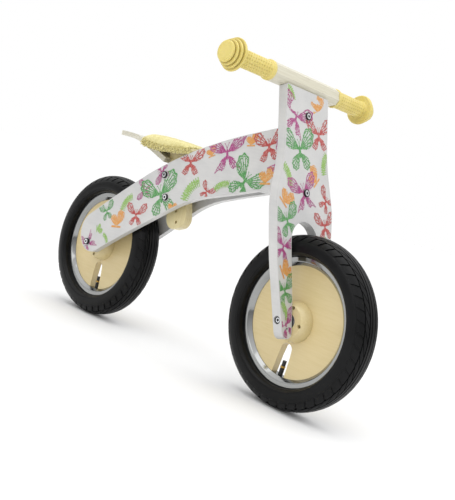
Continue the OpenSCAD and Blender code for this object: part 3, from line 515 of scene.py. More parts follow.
def face_outline(solid, out, across):
    """The edges round a board's printed face, as (middle, inward direction) in the plane
    given by the two unit vectors in across. out points away from the printed face."""
    rim = []
    for edge in solid.edges:
        if len(edge.link_faces) != 2:
            continue
        facing = sorted(edge.link_faces, key=lambda f: -f.normal.dot(out))
        if facing[0].normal.dot(out) < 0.8 or facing[1].normal.dot(out) > 0.5:
            continue
        ends = [Vector((v.co.dot(across[0]), v.co.dot(across[1]))) for v in edge.verts]
        run = ends[1] - ends[0]
        if run.length < 1e-5:
            continue
        inward = Vector((-run.y, run.x)).normalized()
        beyond = facing[1].normal
        if inward.dot(Vector((beyond.dot(across[0]), beyond.dot(across[1])))) > 0:
            inward = -inward
        rim.append((ends[0], ends[1], inward))
    return rim


def nearest_rim(rim, point):
    """The inward direction and a point of the rim edge that is nearest to point."""
    best = None
    for start, end, inward in rim:
        run = end - start
        share = min(1.0, max(0.0, (point - start).dot(run) / run.length_squared))
        near = start + share * run
        distance = (point - near).length
        if best is None or distance < best[0]:
            best = (distance, near, inward)
    return best


def trimmed(face, near, inward):
    """The part of a convex face that lies at least TRIM_INSET inside the rim edge."""
    kept = []
    depth = [(p - near).dot(inward) - TRIM_INSET for p in face]
    for k, p in enumerate(face):
        q = face[(k + 1) % len(face)]
        a, b = depth[k], depth[(k + 1) % len(face)]
        if a > 0:
            kept.append(p)
        if (a > 0) != (b > 0):
            kept.append(p + (q - p) * (a / (a - b)))
    return kept if len(kept) > 2 else []


def screen_print(name, node, body, out, across, inks, motifs):
    """Lays motifs on the face of a CAD node that looks along out. Each motif is
    (ink faces, ink name, (place), turn in degrees, scale)."""
    solid = merged_copy(node)
    rim = face_outline(solid, out, across)
    surface = BVHTree.FromBMesh(solid)
    print_mesh = bmesh.new()
    names = list(inks)
    for order, (shape, ink, place, turn, scale) in enumerate(motifs):
        # Each later ink lies on the ones before it
        lift = INK_LIFT + order * INK_STEP
        spin = Matrix.Rotation(math.radians(turn), 2)
        centre = Vector(place)
        mirrored = -1 if across[0].cross(across[1]).dot(out) < 0 else 1
        corners = {}
        local_rim = [r for r in rim if (r[0] - centre).length < MOTIF_REACH * max(1, scale)]
        for flat_face in shape:
            face = [centre + spin @ Vector((p[0] * mirrored, p[1])) * scale / 1000 for p in flat_face]
            middle = sum(face, Vector((0, 0))) / len(face)
            if local_rim:
                distance, near, inward = nearest_rim(local_rim, middle)
                if distance < TRIM_ZONE or (middle - near).dot(inward) < 0:
                    face = trimmed(face, near, inward)
            laid = []
            for p in face:
                key = (round(p.x, 7), round(p.y, 7))
                if key not in corners:
                    start = across[0] * p.x + across[1] * p.y + out * 0.5
                    hit, normal, _, _ = surface.ray_cast(start, -out)
                    corners[key] = (
                        print_mesh.verts.new(hit + normal * lift)
                        if hit and normal.dot(out) > 0.7
                        else None
                    )
                laid.append(corners[key])
            if len(laid) < 3 or None in laid or len(set(laid)) < len(laid):
                continue
            try:
                skin = print_mesh.faces.new(laid)
            except ValueError:
                continue
            skin.normal_update()
            if skin.normal.dot(out) < 0:
                skin.normal_flip()
            skin.material_index = names.index(ink)
    solid.free()
    bmesh.ops.dissolve_limit(
        print_mesh, angle_limit=math.radians(0.05), verts=print_mesh.verts, edges=print_mesh.edges,
        delimit={"MATERIAL"},
    )
    mesh = bpy.data.meshes.new(name)
    print_mesh.to_mesh(mesh)
    print_mesh.free()
    for ink in names:
        mesh.materials.append(inks[ink])
    return add_piece(name, mesh, body)


def screen_ink(name, colour, worn):
    """Screen-printing ink, matt and slightly see-through where it went on thin, so its
    colour wanders between full and thin within a few millimetres."""
    material, tree, shader = new_material(name, {"Roughness": 0.5, "Coat Weight": 0.2})
    place = add_node(tree, "ShaderNodeTexCoord").outputs["Object"]
    patches = add_node(
        tree, "ShaderNodeTexNoise", {"Scale": 260.0, "Detail": 5.0, "Roughness": 0.6}, {"Vector": place}
    )
    tint = add_node(
        tree, "ShaderNodeValToRGB", {"color_ramp": ((0.36, worn), (0.52, colour))}, {"Fac": patches}
    )
    link_inputs(shader, {"Base Color": tint})
    return material


inks = {
    "magenta": screen_ink("magenta screen ink", "#9c3d75", "#b4719a"),
    "red": screen_ink("red screen ink", "#aa3f3d", "#c07a74"),
    "orange": screen_ink("orange screen ink", "#cf8f47", "#d4aa78"),
    "green": screen_ink("green screen ink", "#4a8c4c", "#80ab7a"),
    "lime": screen_ink("lime screen ink", "#87ae58", "#a3bd84"),
}
shapes = {
    "swallowtail": ink_faces(swallowtail),
    "round": ink_faces(round_wing),
    "comma": ink_faces(comma_wing),
    "folded": ink_faces(folded_wing),
    "grub": ink_faces(caterpillar),
}

# Side-board motifs: shape, ink, distance forward of the rear axle and height above it,
# in mm, turn and scale. They follow the board from its rear end to the head.
side_motifs = [
    ("swallowtail", "magenta", 2, -4, 140, 0.8),
    ("folded", "lime", 24, 34, -70, 0.55),
    ("round", "green", 38, 74, 30, 0.6),
    ("grub", "lime", 56, 22, -40, 0.55),
    ("folded", "orange", 76, 60, 10, 1.0),
    ("grub", "lime", 88, 108, 60, 0.9),
    ("comma", "red", 126, 86, 10, 0.9),
    ("swallowtail", "magenta", 132, 142, 100, 0.55),
    ("round", "green", 178, 138, 30, 1.25),
    ("swallowtail", "magenta", 164, 188, 120, 0.6),
    ("folded", "orange", 212, 120, -10, 0.6),
    ("comma", "red", 230, 218, 12, 1.05),
    ("grub", "lime", 244, 170, 60, 1.15),
    ("comma", "red", 286, 172, -20, 0.6),
    ("folded", "orange", 274, 246, 30, 0.6),
    ("swallowtail", "magenta", 312, 252, 20, 1.15),
    ("grub", "lime", 318, 194, 30, 0.8),
    ("round", "green", 370, 208, -25, 1.15),
    ("folded", "orange", 362, 284, 10, 0.7),
    ("comma", "red", 408, 282, 20, 1.15),
    ("folded", "orange", 420, 224, 10, 0.9),
    ("swallowtail", "magenta", 452, 262, -20, 1.0),
]
# Fork motifs: shape, ink, sideways from the centre line and up from the axle, in mm.
fork_motifs = [
    ("grub", "lime", -46, 398, -60, 0.8),
    ("folded", "orange", 28, 390, 10, 1.0),
    ("swallowtail", "magenta", -34, 356, -20, 1.05),
    ("comma", "red", 34, 338, 8, 1.15),
    ("round", "green", -20, 298, 12, 1.15),
    ("grub", "lime", 50, 290, 80, 0.9),
    ("folded", "orange", 24, 256, 50, 0.9),
    ("grub", "lime", -50, 252, -60, 0.9),
    ("comma", "red", 58, 220, -30, 0.8),
    ("swallowtail", "magenta", -6, 224, 20, 1.0),
    ("folded", "orange", -58, 206, -40, 0.9),
    ("comma", "red", 58, 174, 12, 0.95),
    ("round", "green", -50, 168, 20, 0.85),
    ("grub", "lime", 52, 136, 70, 0.9),
    ("swallowtail", "magenta", -60, 122, -15, 0.85),
    ("round", "green", 58, 100, 15, 0.85),
    ("folded", "orange", -54, 84, -60, 0.9),
    ("comma", "red", 52, 58, 12, 0.8),
    ("round", "green", -52, 48, 15, 0.75),
    ("grub", "lime", 50, 26, 75, 0.7),
    ("grub", "lime", -50, 16, -70, 0.7),
    ("swallowtail", "magenta", -46, -10, 25, 0.75),
    ("round", "green", 46, -8, -15, 0.7),
]
rear_axle, front_axle = (
    (Vector(low) + Vector(high)) / 2 for low, high in (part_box("rear_axle"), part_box("front_axle"))
)
steering = next(j for j in frame["joints"] if j["name"] == "steering")
steer_up = Vector(steering["axis"]).normalized()
steer_forward = Vector((0, 1, 0)).cross(steer_up)
rightward = Vector((1, 0, 0))
upward = Vector((0, 0, 1))
for side, node in (("right", "side_panel_right"), ("left", "side_panel_left")):
    screen_print(
        f"{side}_board_print",
        node,
        "frame",
        Vector((0, -1 if side == "right" else 1, 0)),
        (rightward, upward),
        inks,
        [
            (shapes[shape], ink, (rear_axle.x + ahead / 1000, rear_axle.z + above / 1000), turn, scale)
            for shape, ink, ahead, above, turn, scale in side_motifs
        ],
    )
screen_print(
    "fork_board_print",
    "fork_panel",
    "fork",
    steer_forward,
    (Vector((0, 1, 0)), steer_up),
    inks,
    [
        (shapes[shape], ink, (beside / 1000, front_axle.dot(steer_up) + above / 1000), turn, scale)
        for shape, ink, beside, above, turn, scale in fork_motifs
    ],
)

# ---------------------------------------------------------------------------------------
# Rims: rolled aluminium, polished, with a cone-shaped inner wall that catches the room
# as a bright ring round each disc. Turned here in one piece, as the rolled strip is.
# ---------------------------------------------------------------------------------------
MM = 0.001


def rounded_profile(points, radii, steps=5):
    """A closed profile whose corners are rounded with arcs, in mm."""
    line = []
    count = len(points)
    for k in range(count):
        corner = Vector(points[k])
        radius = radii[k] if isinstance(radii, (list, tuple)) else radii
        before = Vector(points[k - 1]) - corner
        after = Vector(points[(k + 1) % count]) - corner
        half = before.angle(after) / 2
        if radius <= 0 or half > 1.55:
            line.append(corner)
            continue
        reach = min(radius / math.tan(half), 0.45 * before.length, 0.45 * after.length)
        start = corner + before.normalized() * reach
        end = corner + after.normalized() * reach
        for step in range(steps + 1):
            t = step / steps
            line.append((1 - t) ** 2 * start + 2 * t * (1 - t) * corner + t**2 * end)
    return line


def turned_mesh(name, profile, centre, steps):
    """A closed profile of (radius, y) in mm, turned about the Y axis through centre."""
    solid = bmesh.new()
    rings = []
    for k in range(steps):
        turn = 2 * math.pi * k / steps
        rings.append(
            [
                solid.verts.new(
                    centre + Vector((p[0] * MM * math.cos(turn), p[1] * MM, p[0] * MM * math.sin(turn)))
                )
                for p in profile
            ]
        )
    count = len(profile)
    for k in range(steps):
        this, following = rings[k], rings[(k + 1) % steps]
        for i in range(count):
            j = (i + 1) % count
            if profile[i][0] < 1e-6 and profile[j][0] < 1e-6:
                continue
            solid.faces.new((this[i], this[j], following[j], following[i]))
    bmesh.ops.remove_doubles(solid, verts=solid.verts, dist=1e-7)
    bmesh.ops.recalc_face_normals(solid, faces=solid.faces)
    mesh = bpy.data.meshes.new(name)
    solid.to_mesh(mesh)
    solid.free()
    mesh.shade_smooth()
    mesh.set_sharp_from_angle(angle=math.radians(40))
    return mesh


def polished_aluminium(centre):
    """Polished rolled aluminium: nearly a mirror, with fine buffing rings round the axle."""
    material, tree, shader = new_material(
        "polished aluminium", {"Metallic": 1.0, "Base Color": linear("#969796"), "Anisotropic": 0.3}
    )
    place = add_node(tree, "ShaderNodeTexCoord").outputs["Object"]
    local = add_node(tree, "ShaderNodeMapping", {"Location": tuple(-centre)}, {"Vector": place})
    axes = add_node(tree, "ShaderNodeSeparateXYZ", links={"Vector": local})
    flat = add_node(tree, "ShaderNodeCombineXYZ", links={"X": axes.outputs["X"], "Y": axes.outputs["Z"]})
    radius = add_node(tree, "ShaderNodeVectorMath", {"operation": "LENGTH"}, {0: flat})
    # Buffing rings about 0.4 mm apart
    ring_space = add_node(
        tree, "ShaderNodeCombineXYZ", links={"X": radius.outputs["Value"], "Y": axes.outputs["Y"]}
    )
    rings = add_node(
        tree, "ShaderNodeTexNoise", {"Scale": 2500.0, "Detail": 3.0, "Roughness": 0.6},
        {"Vector": ring_space},
    )
    rough = add_node(tree, "ShaderNodeMapRange", {"To Min": 0.06, "To Max": 0.17}, {"Value": rings})
    bump = add_node(
        tree, "ShaderNodeBump", {"Strength": 0.05, "Distance": 0.0001}, {"Height": rings}
    )
    link_inputs(shader, {"Roughness": rough, "Normal": bump})
    return material


wheels = {"front": front_axle, "rear": rear_axle}
rim_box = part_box("front_rim")
LIP_R = (rim_box[1][0] - rim_box[0][0]) / 2 / MM
RIM_HALF = rim_box[1][1] / MM
RIM_STEPS = 192
rim_half_profile = [
    (LIP_R - 0.2, RIM_HALF),
    (LIP_R - 7.5, RIM_HALF - 0.5),
    (LIP_R - 9.0, RIM_HALF - 1.6),
    (LIP_R - 14.5, 8.5),
]
rim_profile = rounded_profile(
    rim_half_profile
    + [(r, -y) for r, y in reversed(rim_half_profile)]
    + [(LIP_R - 0.2, 1.8 - RIM_HALF), (LIP_R - 12.6, -7.7)]
    + [(LIP_R - 12.6, 7.7), (LIP_R - 0.2, RIM_HALF - 1.8)],
    [0.8, 1.2, 1.2, 0.6, 0.6, 1.2, 1.2, 0.8, 0.8, 0.5, 0.5, 0.8],
)
for wheel, axle in wheels.items():
    mesh = turned_mesh(f"{wheel}_rim_shell", rim_profile, axle, RIM_STEPS)
    rim_shell = add_piece(f"{wheel}_rim_shell", mesh, f"{wheel}_wheel", polished_aluminium(axle))
    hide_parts(f"{wheel}_rim")

# ---------------------------------------------------------------------------------------
# Tyres: moulded black rubber. Three smooth ribs run round the crown, with a row of slanted
# blocks and a row of longer shoulder blocks each side of them. The sidewall has two raised
# rings and tucks in behind the rim's lip.
# ---------------------------------------------------------------------------------------
tyre_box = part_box("front_tyre")
TYRE_R = (tyre_box[1][0] - tyre_box[0][0]) / 2 / MM
TYRE_HALF = tyre_box[1][1] / MM
SECTION_R = 30.0
WALL = 4.0
TREAD_DEPTH = 2.3
BLOCK_COUNT = 44
BLOCK_ROOT = 0.4
BLOCK_TAPER = 0.06
TYRE_STEPS = 200


def tyre_section(turn, depth=0.0):
    """Point (radius, y) in mm on the tyre's section, a little squarer than a circle.
    turn is 0 at the crown and 90 degrees at the widest point, depth is below the tread."""
    squareness = 2 / 2.35
    high = max(0.0, math.cos(turn)) ** squareness * (SECTION_R - depth)
    wide = math.sin(turn) ** squareness * (TYRE_HALF - depth * 0.6)
    return TYRE_R - SECTION_R + high, wide


def sidewall(turn, wall=0.0, ring=0.0):
    """Point (radius, y) in mm below the widest point, on the quarter ellipse that ends just
    above the rim's lip at 90 degrees. wall is how far inside the surface it is."""
    foot_r, foot_y = LIP_R + 0.5 + wall, RIM_HALF + 1.1 - wall
    centre_r = TYRE_R - SECTION_R
    return (
        centre_r - (centre_r - foot_r) * math.sin(turn),
        foot_y + (TYRE_HALF - wall + ring - foot_y) * math.cos(turn),
    )


def carcass_profile():
    """The tyre without its blocks, closed through the inside. Each half goes from the
    crown over the shoulder and round the sidewall to the bead inside the rim."""
    ribs = [(0, 0), (4, 0), (4.6, 1), (6.6, 1), (7.2, 0), (14, 0), (14.8, 1)]
    slope = [(d, 1) for d in range(18, 58, 4)] + [(d, (66 - d) / 8) for d in (58, 60, 62, 64, 66)]
    shoulder = [(d, 0) for d in range(70, 90, 4)]
    half = [tyre_section(math.radians(d), share * TREAD_DEPTH) for d, share in ribs + slope + shoulder]
    for degrees in range(0, 91, 3):
        ring = 0.8 * math.exp(-(((degrees - 24) / 4) ** 2)) + 0.6 * math.exp(-(((degrees - 60) / 4) ** 2))
        half.append(sidewall(math.radians(degrees), 0.0, ring))
    half += [(LIP_R - 1.0, RIM_HALF - 2.2), (LIP_R - 6.5, RIM_HALF - 2.6)]
    half += [(LIP_R - 6.5, RIM_HALF - 5.4), (LIP_R + 1.0, RIM_HALF - 5.4)]
    half += [sidewall(math.radians(d), WALL) for d in range(80, -1, -10)]
    half += [tyre_section(math.radians(d), WALL) for d in range(80, -1, -10)]
    return half + [(r, -y) for r, y in reversed(half[1:-1])]


def tread_block(name, first, last, slant, span):
    """One block of the +Y side at the top of the wheel, as a mesh about the axle.
    first and last are its section angles, slant and span its turns about the axle."""
    rows, columns = 7, 3
    block = bmesh.new()
    skins = []
    for depth in (0.0, TREAD_DEPTH + BLOCK_ROOT):
        skin = []
        for i in range(rows):
            share = i / (rows - 1)
            r, y = tyre_section(math.radians(first + (last - first) * share), depth)
            row = []
            for j in range(columns):
                inset = 0.0 if depth else BLOCK_TAPER
                along = (j / (columns - 1) - 0.5) * (span - inset)
                turn = math.radians(along + slant * (share - 0.5))
                row.append(block.verts.new((r * MM * math.sin(turn), y * MM, r * MM * math.cos(turn))))
            skin.append(row)
        skins.append(skin)
    top, foot = skins
    for i in range(rows - 1):
        for j in range(columns - 1):
            block.faces.new((top[i][j], top[i][j + 1], top[i + 1][j + 1], top[i + 1][j]))
            block.faces.new((foot[i][j], foot[i + 1][j], foot[i + 1][j + 1], foot[i][j + 1]))
    for i in range(rows - 1):
        block.faces.new((top[i][0], top[i + 1][0], foot[i + 1][0], foot[i][0]))
        block.faces.new((top[i][-1], foot[i][-1], foot[i + 1][-1], top[i + 1][-1]))
    for j in range(columns - 1):
        block.faces.new((top[0][j], foot[0][j], foot[0][j + 1], top[0][j + 1]))
        block.faces.new((top[-1][j], top[-1][j + 1], foot[-1][j + 1], foot[-1][j]))
    bmesh.ops.recalc_face_normals(block, faces=block.faces)
    mesh = bpy.data.meshes.new(name)
    block.to_mesh(mesh)
    block.free()
    return mesh


def copies_round_axle(material):
    """Node tree that repeats a mesh round the Y axis and moves the ring to a wheel."""
    tree = bpy.data.node_groups.new("copies round an axle", "GeometryNodeTree")
    tree.interface.new_socket("Geometry", in_out="INPUT", socket_type="NodeSocketGeometry")
    tree.interface.new_socket("Count", in_out="INPUT", socket_type="NodeSocketInt")
    tree.interface.new_socket("Centre", in_out="INPUT", socket_type="NodeSocketVector")
    tree.interface.new_socket("Geometry", in_out="OUTPUT", socket_type="NodeSocketGeometry")
    given = add_node(tree, "NodeGroupInput")
    result = add_node(tree, "NodeGroupOutput")
    places = add_node(
        tree, "GeometryNodeMeshLine", {"Offset": (0, 0, 0)}, {"Count": given.outputs["Count"]}
    )
    index = add_node(tree, "GeometryNodeInputIndex")
    share = add_node(
        tree, "ShaderNodeMath", {"operation": "DIVIDE"}, {0: index.outputs[0], 1: given.outputs["Count"]}
    )
    turn = add_node(tree, "ShaderNodeMath", {"operation": "MULTIPLY", 1: math.tau}, {0: share})
    turned = add_node(tree, "ShaderNodeCombineXYZ", links={"Y": turn})
    copies = add_node(
        tree, "GeometryNodeInstanceOnPoints", links={
            "Points": places, "Instance": given.outputs["Geometry"],
            "Rotation": turned,
        },
    )
    moved = add_node(
        tree, "GeometryNodeTransform", links={
            "Geometry": copies, "Translation": given.outputs["Centre"]
        },
    )
    real = add_node(tree, "GeometryNodeRealizeInstances", links={"Geometry": moved})
    painted = add_node(tree, "GeometryNodeSetMaterial", {"Material": material}, {"Geometry": real})
    link_inputs(result, {"Geometry": painted})
    return tree


def set_inputs(modifier, values):
    """Sets a node tree's inputs by their names, through the sockets' identifiers."""
    for item in modifier.node_group.interface.items_tree:
        if item.item_type == "SOCKET" and item.in_out == "INPUT" and item.name in values:
            modifier[item.identifier] = values[item.name]


def moulded_rubber():
    """Black carbon rubber straight from the mould: dull, with fine pitting, and a paler
    dusty bloom in patches."""
    material, tree, shader = new_material(
        "moulded black tyre rubber", {"Specular IOR Level": 0.18, "IOR": 1.52}
    )
    place = add_node(tree, "ShaderNodeTexCoord").outputs["Object"]
    bloom = add_node(
        tree, "ShaderNodeTexNoise", {"Scale": 22.0, "Detail": 5.0, "Roughness": 0.6}, {"Vector": place}
    )
    tint = add_node(
        tree, "ShaderNodeValToRGB", {"color_ramp": ((0.35, "#060607"), (0.75, "#0f1011"))}, {"Fac": bloom}
    )
    rough = add_node(tree, "ShaderNodeMapRange", {"To Min": 0.28, "To Max": 0.44}, {"Value": bloom})
    pits = add_node(
        tree, "ShaderNodeTexNoise", {"Scale": 1400.0, "Detail": 2.0, "Roughness": 0.6},
        {"Vector": place},
    )
    bump = add_node(
        tree, "ShaderNodeBump", {"Strength": 0.18, "Distance": 0.0003}, {"Height": pits}
    )
    link_inputs(shader, {"Base Color": tint, "Roughness": rough, "Normal": bump})
    return material


tyre_rubber = moulded_rubber()
tread_tree = copies_round_axle(tyre_rubber)
BLOCK_SPAN = 360 / BLOCK_COUNT
middle_block = tread_block("middle_block", 17.5, 33, 8.0, BLOCK_SPAN - 1.1)
shoulder_block = tread_block("shoulder_block", 36, 64, 3.5, BLOCK_SPAN - 1.7)


def mirrored_pair(block, offset):
    """The block with its mirror image on the -Y side, turned half a pitch on."""
    pair = bmesh.new()
    pair.from_mesh(block)
    other = bmesh.new()
    other.from_mesh(block)
    bmesh.ops.scale(other, vec=(-1, -1, 1), verts=other.verts)
    bmesh.ops.rotate(other, cent=(0, 0, 0), matrix=Matrix.Rotation(offset, 3, "Y"), verts=other.verts)
    spare = bpy.data.meshes.new("spare")
    other.to_mesh(spare)
    pair.from_mesh(spare)
    mesh = bpy.data.meshes.new(block.name)
    pair.to_mesh(mesh)
    pair.free()
    other.free()
    return mesh


for wheel, axle in wheels.items():
    mesh = turned_mesh(f"{wheel}_tyre_carcass", carcass_profile(), axle, TYRE_STEPS)
    carcass = add_piece(f"{wheel}_tyre_carcass", mesh, f"{wheel}_wheel", tyre_rubber)
    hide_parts(f"{wheel}_tyre")
    for block, row in ((middle_block, "middle"), (shoulder_block, "shoulder")):
        mesh = mirrored_pair(block, math.radians(BLOCK_SPAN / 2))
        tread = bpy.data.objects.new(f"{wheel}_{row}_tread", mesh)
        bpy.context.scene.collection.objects.link(tread)
        repeat = tread.modifiers.new("repeat", "NODES")
        repeat.node_group = tread_tree
        set_inputs(repeat, {"Count": BLOCK_COUNT, "Centre": axle})
        apply_modifiers(tread)
        tread.data.shade_smooth()
        tread.data.set_sharp_from_angle(angle=math.radians(35))
        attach(tread, f"{wheel}_wheel")

# ---------------------------------------------------------------------------------------
# Wheel discs and hubs: birch ply discs with a routed slot for the valve, and turned birch
# bosses screwed on each side. The valve is black rubber with a brass core ring, which
# lies 81.5 mm from the axle.
# ---------------------------------------------------------------------------------------
VALVE_RING_REACH = 0.0815
disc_birch = varnished_birch(
    "varnished birch ply, disc", "#dac796", "#d2be89", X_AXIS, Y_AXIS, relief=0.04
)
boss_birch = varnished_birch(
    "turned varnished birch", "#dccb9a", "#d4c18c", X_AXIS, Z_AXIS, edge_lines=0.0, relief=0.03
)


def plain_rubber(name, colour, roughness):
    """Soft black moulded rubber or nylon with a fine spark-eroded grain."""
    material, tree, shader = new_material(name, {"Base Color": linear(colour), "Roughness": roughness})
    place = add_node(tree, "ShaderNodeTexCoord").outputs["Object"]
    grain = add_node(
        tree, "ShaderNodeTexNoise", {"Scale": 1800.0, "Detail": 2.0, "Roughness": 0.6},
        {"Vector": place},
    )
    bump = add_node(
        tree, "ShaderNodeBump", {"Strength": 0.2, "Distance": 0.0002}, {"Height": grain}
    )
    link_inputs(shader, {"Normal": bump})
    return material


def finished_metal(name, colour, rough_low, rough_high, scale):
    """Metal whose roughness wanders a little, as handled and plated parts do."""
    material, tree, shader = new_material(name, {"Metallic": 1.0, "Base Color": linear(colour)})
    place = add_node(tree, "ShaderNodeTexCoord").outputs["Object"]
    marks = add_node(
        tree, "ShaderNodeTexNoise", {"Scale": scale, "Detail": 3.0, "Roughness": 0.6}, {"Vector": place}
    )
    rough = add_node(
        tree, "ShaderNodeMapRange", {"To Min": rough_low, "To Max": rough_high}, {"Value": marks}
    )
    link_inputs(shader, {"Roughness": rough})
    return material


valve_rubber = plain_rubber("black valve rubber", "#141516", 0.55)
cap_plastic = plain_rubber("black moulded cap", "#1a1a1b", 0.4)
turned_brass = finished_metal("turned brass", "#b8934a", 0.22, 0.34, 900.0)
black_oxide = finished_metal("black oxide steel", "#3a3b3d", 0.35, 0.5, 700.0)
zinc_plate = finished_metal("zinc-plated steel", "#b9bcc0", 0.25, 0.42, 600.0)
bright_chrome = finished_metal("bright chrome", "#dfe1e3", 0.05, 0.11, 500.0)
ground_steel = finished_metal("ground bearing steel", "#a9acb0", 0.2, 0.3, 900.0)
# This black also colours the painted shade rings and painted shadow discs on the bolt heads
black_nylon_and_painted_shade = plain_rubber("black nylon and painted shade", "#1b1c1d", 0.5)


def finish_node(node, material):
    """Gives a CAD node its material."""
    mesh = frame["nodes"][node].data
    mesh.materials.clear()
    mesh.materials.append(material)


def valve_direction(wheel):
    """From the axle towards the valve, worked out from where the frame has its cap."""
    low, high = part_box(f"{wheel}_valve_cap")
    return (((Vector(low) + Vector(high)) / 2) - wheels[wheel]).normalized()


for wheel, axle in wheels.items():
    body = f"{wheel}_wheel"
    add_eased(f"{wheel}_wooden_disc", f"{wheel}_disc", body, disc_birch, 0.0011)
    add_eased(f"{wheel}_turned_bosses", f"{wheel}_hub_bosses", body, boss_birch, 0.0008)
    for part, material in (
        ("inner_tube", valve_rubber),
        ("hub_screws", black_oxide),
        ("rim_screws", zinc_plate),
        ("bearing_outers", ground_steel),
        ("bearing_inners", ground_steel),
        ("axle", zinc_plate),
        ("axle_bolts", bright_chrome),
        ("axle_washers", zinc_plate),
        ("axle_spacers", zinc_plate),
        ("valve", valve_rubber),
        ("valve_cap", cap_plastic),
    ):
        finish_node(f"{wheel}_{part}", material)
    # Brass collar where the valve's core screws in, just under the cap
    ring = turned_mesh(
        f"{wheel}_valve_collar",
        rounded_profile([(2.0, 0.0), (4.5, 0.0), (4.5, 3.2), (2.0, 3.2)], 0.5, 3),
        Vector((0, 0, 0)),
        40,
    )
    outward = valve_direction(wheel)
    aim = Vector((0, 1, 0)).rotation_difference(outward).to_matrix().to_4x4()
    ring.transform(Matrix.Translation(axle + outward * VALVE_RING_REACH) @ aim)
    add_piece(f"{wheel}_valve_collar", ring, body, turned_brass)

# ---------------------------------------------------------------------------------------
# Steering and fixings: an eye bolt above and below the head block, held by lock nuts at
# the back of the fork board and by socket caps at the front, on one steel pin.
# ---------------------------------------------------------------------------------------
for node in ("steering_pin", "steering_nut", "eye_bolts", "eye_nuts", "eye_washers", "bar_screws",
             "seat_post_bolts", "seat_screws", "seat_staples"):
    finish_node(node, zinc_plate)
for node in ("fork_cap_nuts", "seat_post_caps"):
    finish_node(node, bright_chrome)
for node in ("head_bushes", "steering_spacers", "seat_post_spacers"):
    finish_node(node, black_nylon_and_painted_shade)
for node in ("head_dowels", "bar_dowels"):
    finish_node(node, beech)
finish_node("leg_grub_screws", black_oxide)

# Sizes in mm of the painted shade on the heads: the width of the black ring of painted shade over each
# head's rim, and the radius and depth of the black disc of painted shadow in its hexagon socket
HEX_SHADOW_R = 2.4
HEX_DEPTH = 2.5
SHADE_RING_WIDTH = 1.4


def separate_solids(node):
    """The places of the corners of each separate solid in a CAD node."""
    solid = merged_copy(node)
    solid.verts.ensure_lookup_table()
    seen = set()
    groups = []
    for start in solid.verts:
        if start.index in seen:
            continue
        seen.add(start.index)
        waiting = [start]
        places = []
        while waiting:
            vertex = waiting.pop()
            places.append(vertex.co.copy())
            for edge in vertex.link_edges:
                other = edge.other_vert(vertex)
                if other.index not in seen:
                    seen.add(other.index)
                    waiting.append(other)
        groups.append(places)
    solid.free()
    return groups


def add_painted_shade_rings(node, body, head_r, head_t, fixed_out):
    """A black ring of painted shade round each bright head of a node, standing for the dark reflection on
    its rim, and a black disc of painted shadow in its hexagon socket.
    """
    # collar is the black ring of painted shade over the head's rim, shadow the black disc of painted shadow
    # in its socket
    collar = rounded_profile(
        [(head_r - SHADE_RING_WIDTH, -head_t), (head_r + 0.3, -head_t), (head_r + 0.3, 0.3),
         (head_r - SHADE_RING_WIDTH, 0.3)],
        0.3,
    )
    shadow = [(0, -HEX_DEPTH), (HEX_SHADOW_R, -HEX_DEPTH), (HEX_SHADOW_R, -1.0), (0, -1.0)]
    joined = bmesh.new()
    for places in separate_solids(node):
        middle = sum(places, Vector()) / len(places)
        out = fixed_out or Vector((0, math.copysign(1, middle.y), 0))
        top = max(p.dot(out) for p in places)
        face = [p for p in places if top - p.dot(out) < 0.0002]
        corners = [[pick(p[axis] for p in face) for axis in range(3)] for pick in (min, max)]
        centre = (Vector(corners[0]) + Vector(corners[1])) / 2
        aim = Vector((0, 1, 0)).rotation_difference(out).to_matrix().to_4x4()
        for profile in (collar, shadow):
            part = turned_mesh("collar", profile, Vector((0, 0, 0)), 36)
            part.transform(Matrix.Translation(centre) @ aim)
            joined.from_mesh(part)
    mesh = bpy.data.meshes.new(f"{node}_painted_shade_rings")
    joined.to_mesh(mesh)
    joined.free()
    mesh.shade_smooth()
    mesh.set_sharp_from_angle(angle=math.radians(40))
    add_piece(f"{node}_painted_shade_rings", mesh, body, black_nylon_and_painted_shade)


# Node, body, head radius and head height in mm, and the way the heads face where it is fixed
for heads in (
    ("fork_cap_nuts", "fork", 6.5, 3.0, steer_forward),
    ("front_axle_bolts", "fork", 5.5, 5.0, None),
    ("rear_axle_bolts", "frame", 6.5, 4.0, None),
    ("seat_post_caps", "frame", 6.5, 4.0, None),
):
    add_painted_shade_rings(*heads)

# ---------------------------------------------------------------------------------------
# Handlebar: one square length of birch with chamfered edges, sprayed cream white, with
# round ends turned on it inside the grips.
# ---------------------------------------------------------------------------------------
def cream_paint():
    """Cream-white satin paint on wood, with the brushed-out grain showing faintly."""
    material, tree, shader = new_material(
        "cream-white painted birch", {"Roughness": 0.38, "Coat Weight": 0.2, "Coat Roughness": 0.2}
    )
    place = add_node(tree, "ShaderNodeTexCoord").outputs["Object"]
    grain_space = add_node(tree, "ShaderNodeMapping", {"Scale": (300.0, 16.0, 300.0)}, {"Vector": place})
    grain = add_node(
        tree, "ShaderNodeTexNoise", {"Scale": 1.0, "Detail": 5.0, "Roughness": 0.6},
        {"Vector": grain_space},
    )
    tint = add_node(
        tree, "ShaderNodeValToRGB", {"color_ramp": ((0.3, "#c9c4ae"), (0.7, "#d8d4c2"))}, {"Fac": grain}
    )
    bump = add_node(
        tree, "ShaderNodeBump", {"Strength": 0.12, "Distance": 0.0003}, {"Height": grain}
    )
    link_inputs(shader, {"Base Color": tint, "Normal": bump})
    return material


add_eased("painted_bar", "handlebar", "fork", cream_paint(), 0.0016)

# ---------------------------------------------------------------------------------------
# Grips: moulded cream-yellow rubber, a collar at the inner end, a body with rows of round
# dimples, and a wide guard flange with three steps at the outer end.
# ---------------------------------------------------------------------------------------
grip_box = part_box("grip_left")
GRIP_START = grip_box[0][1] / MM
GRIP_END = grip_box[1][1] / MM
FLANGE_R = 29.0
FLANGE_LONG = 26
GRIP_R = 16.0
DIMPLE_ROWS = 16
DIMPLE_PITCH = 6.4
DIMPLE_R = 1.8
DIMPLE_DEPTH = 1.2
GRIP_STEPS = 150


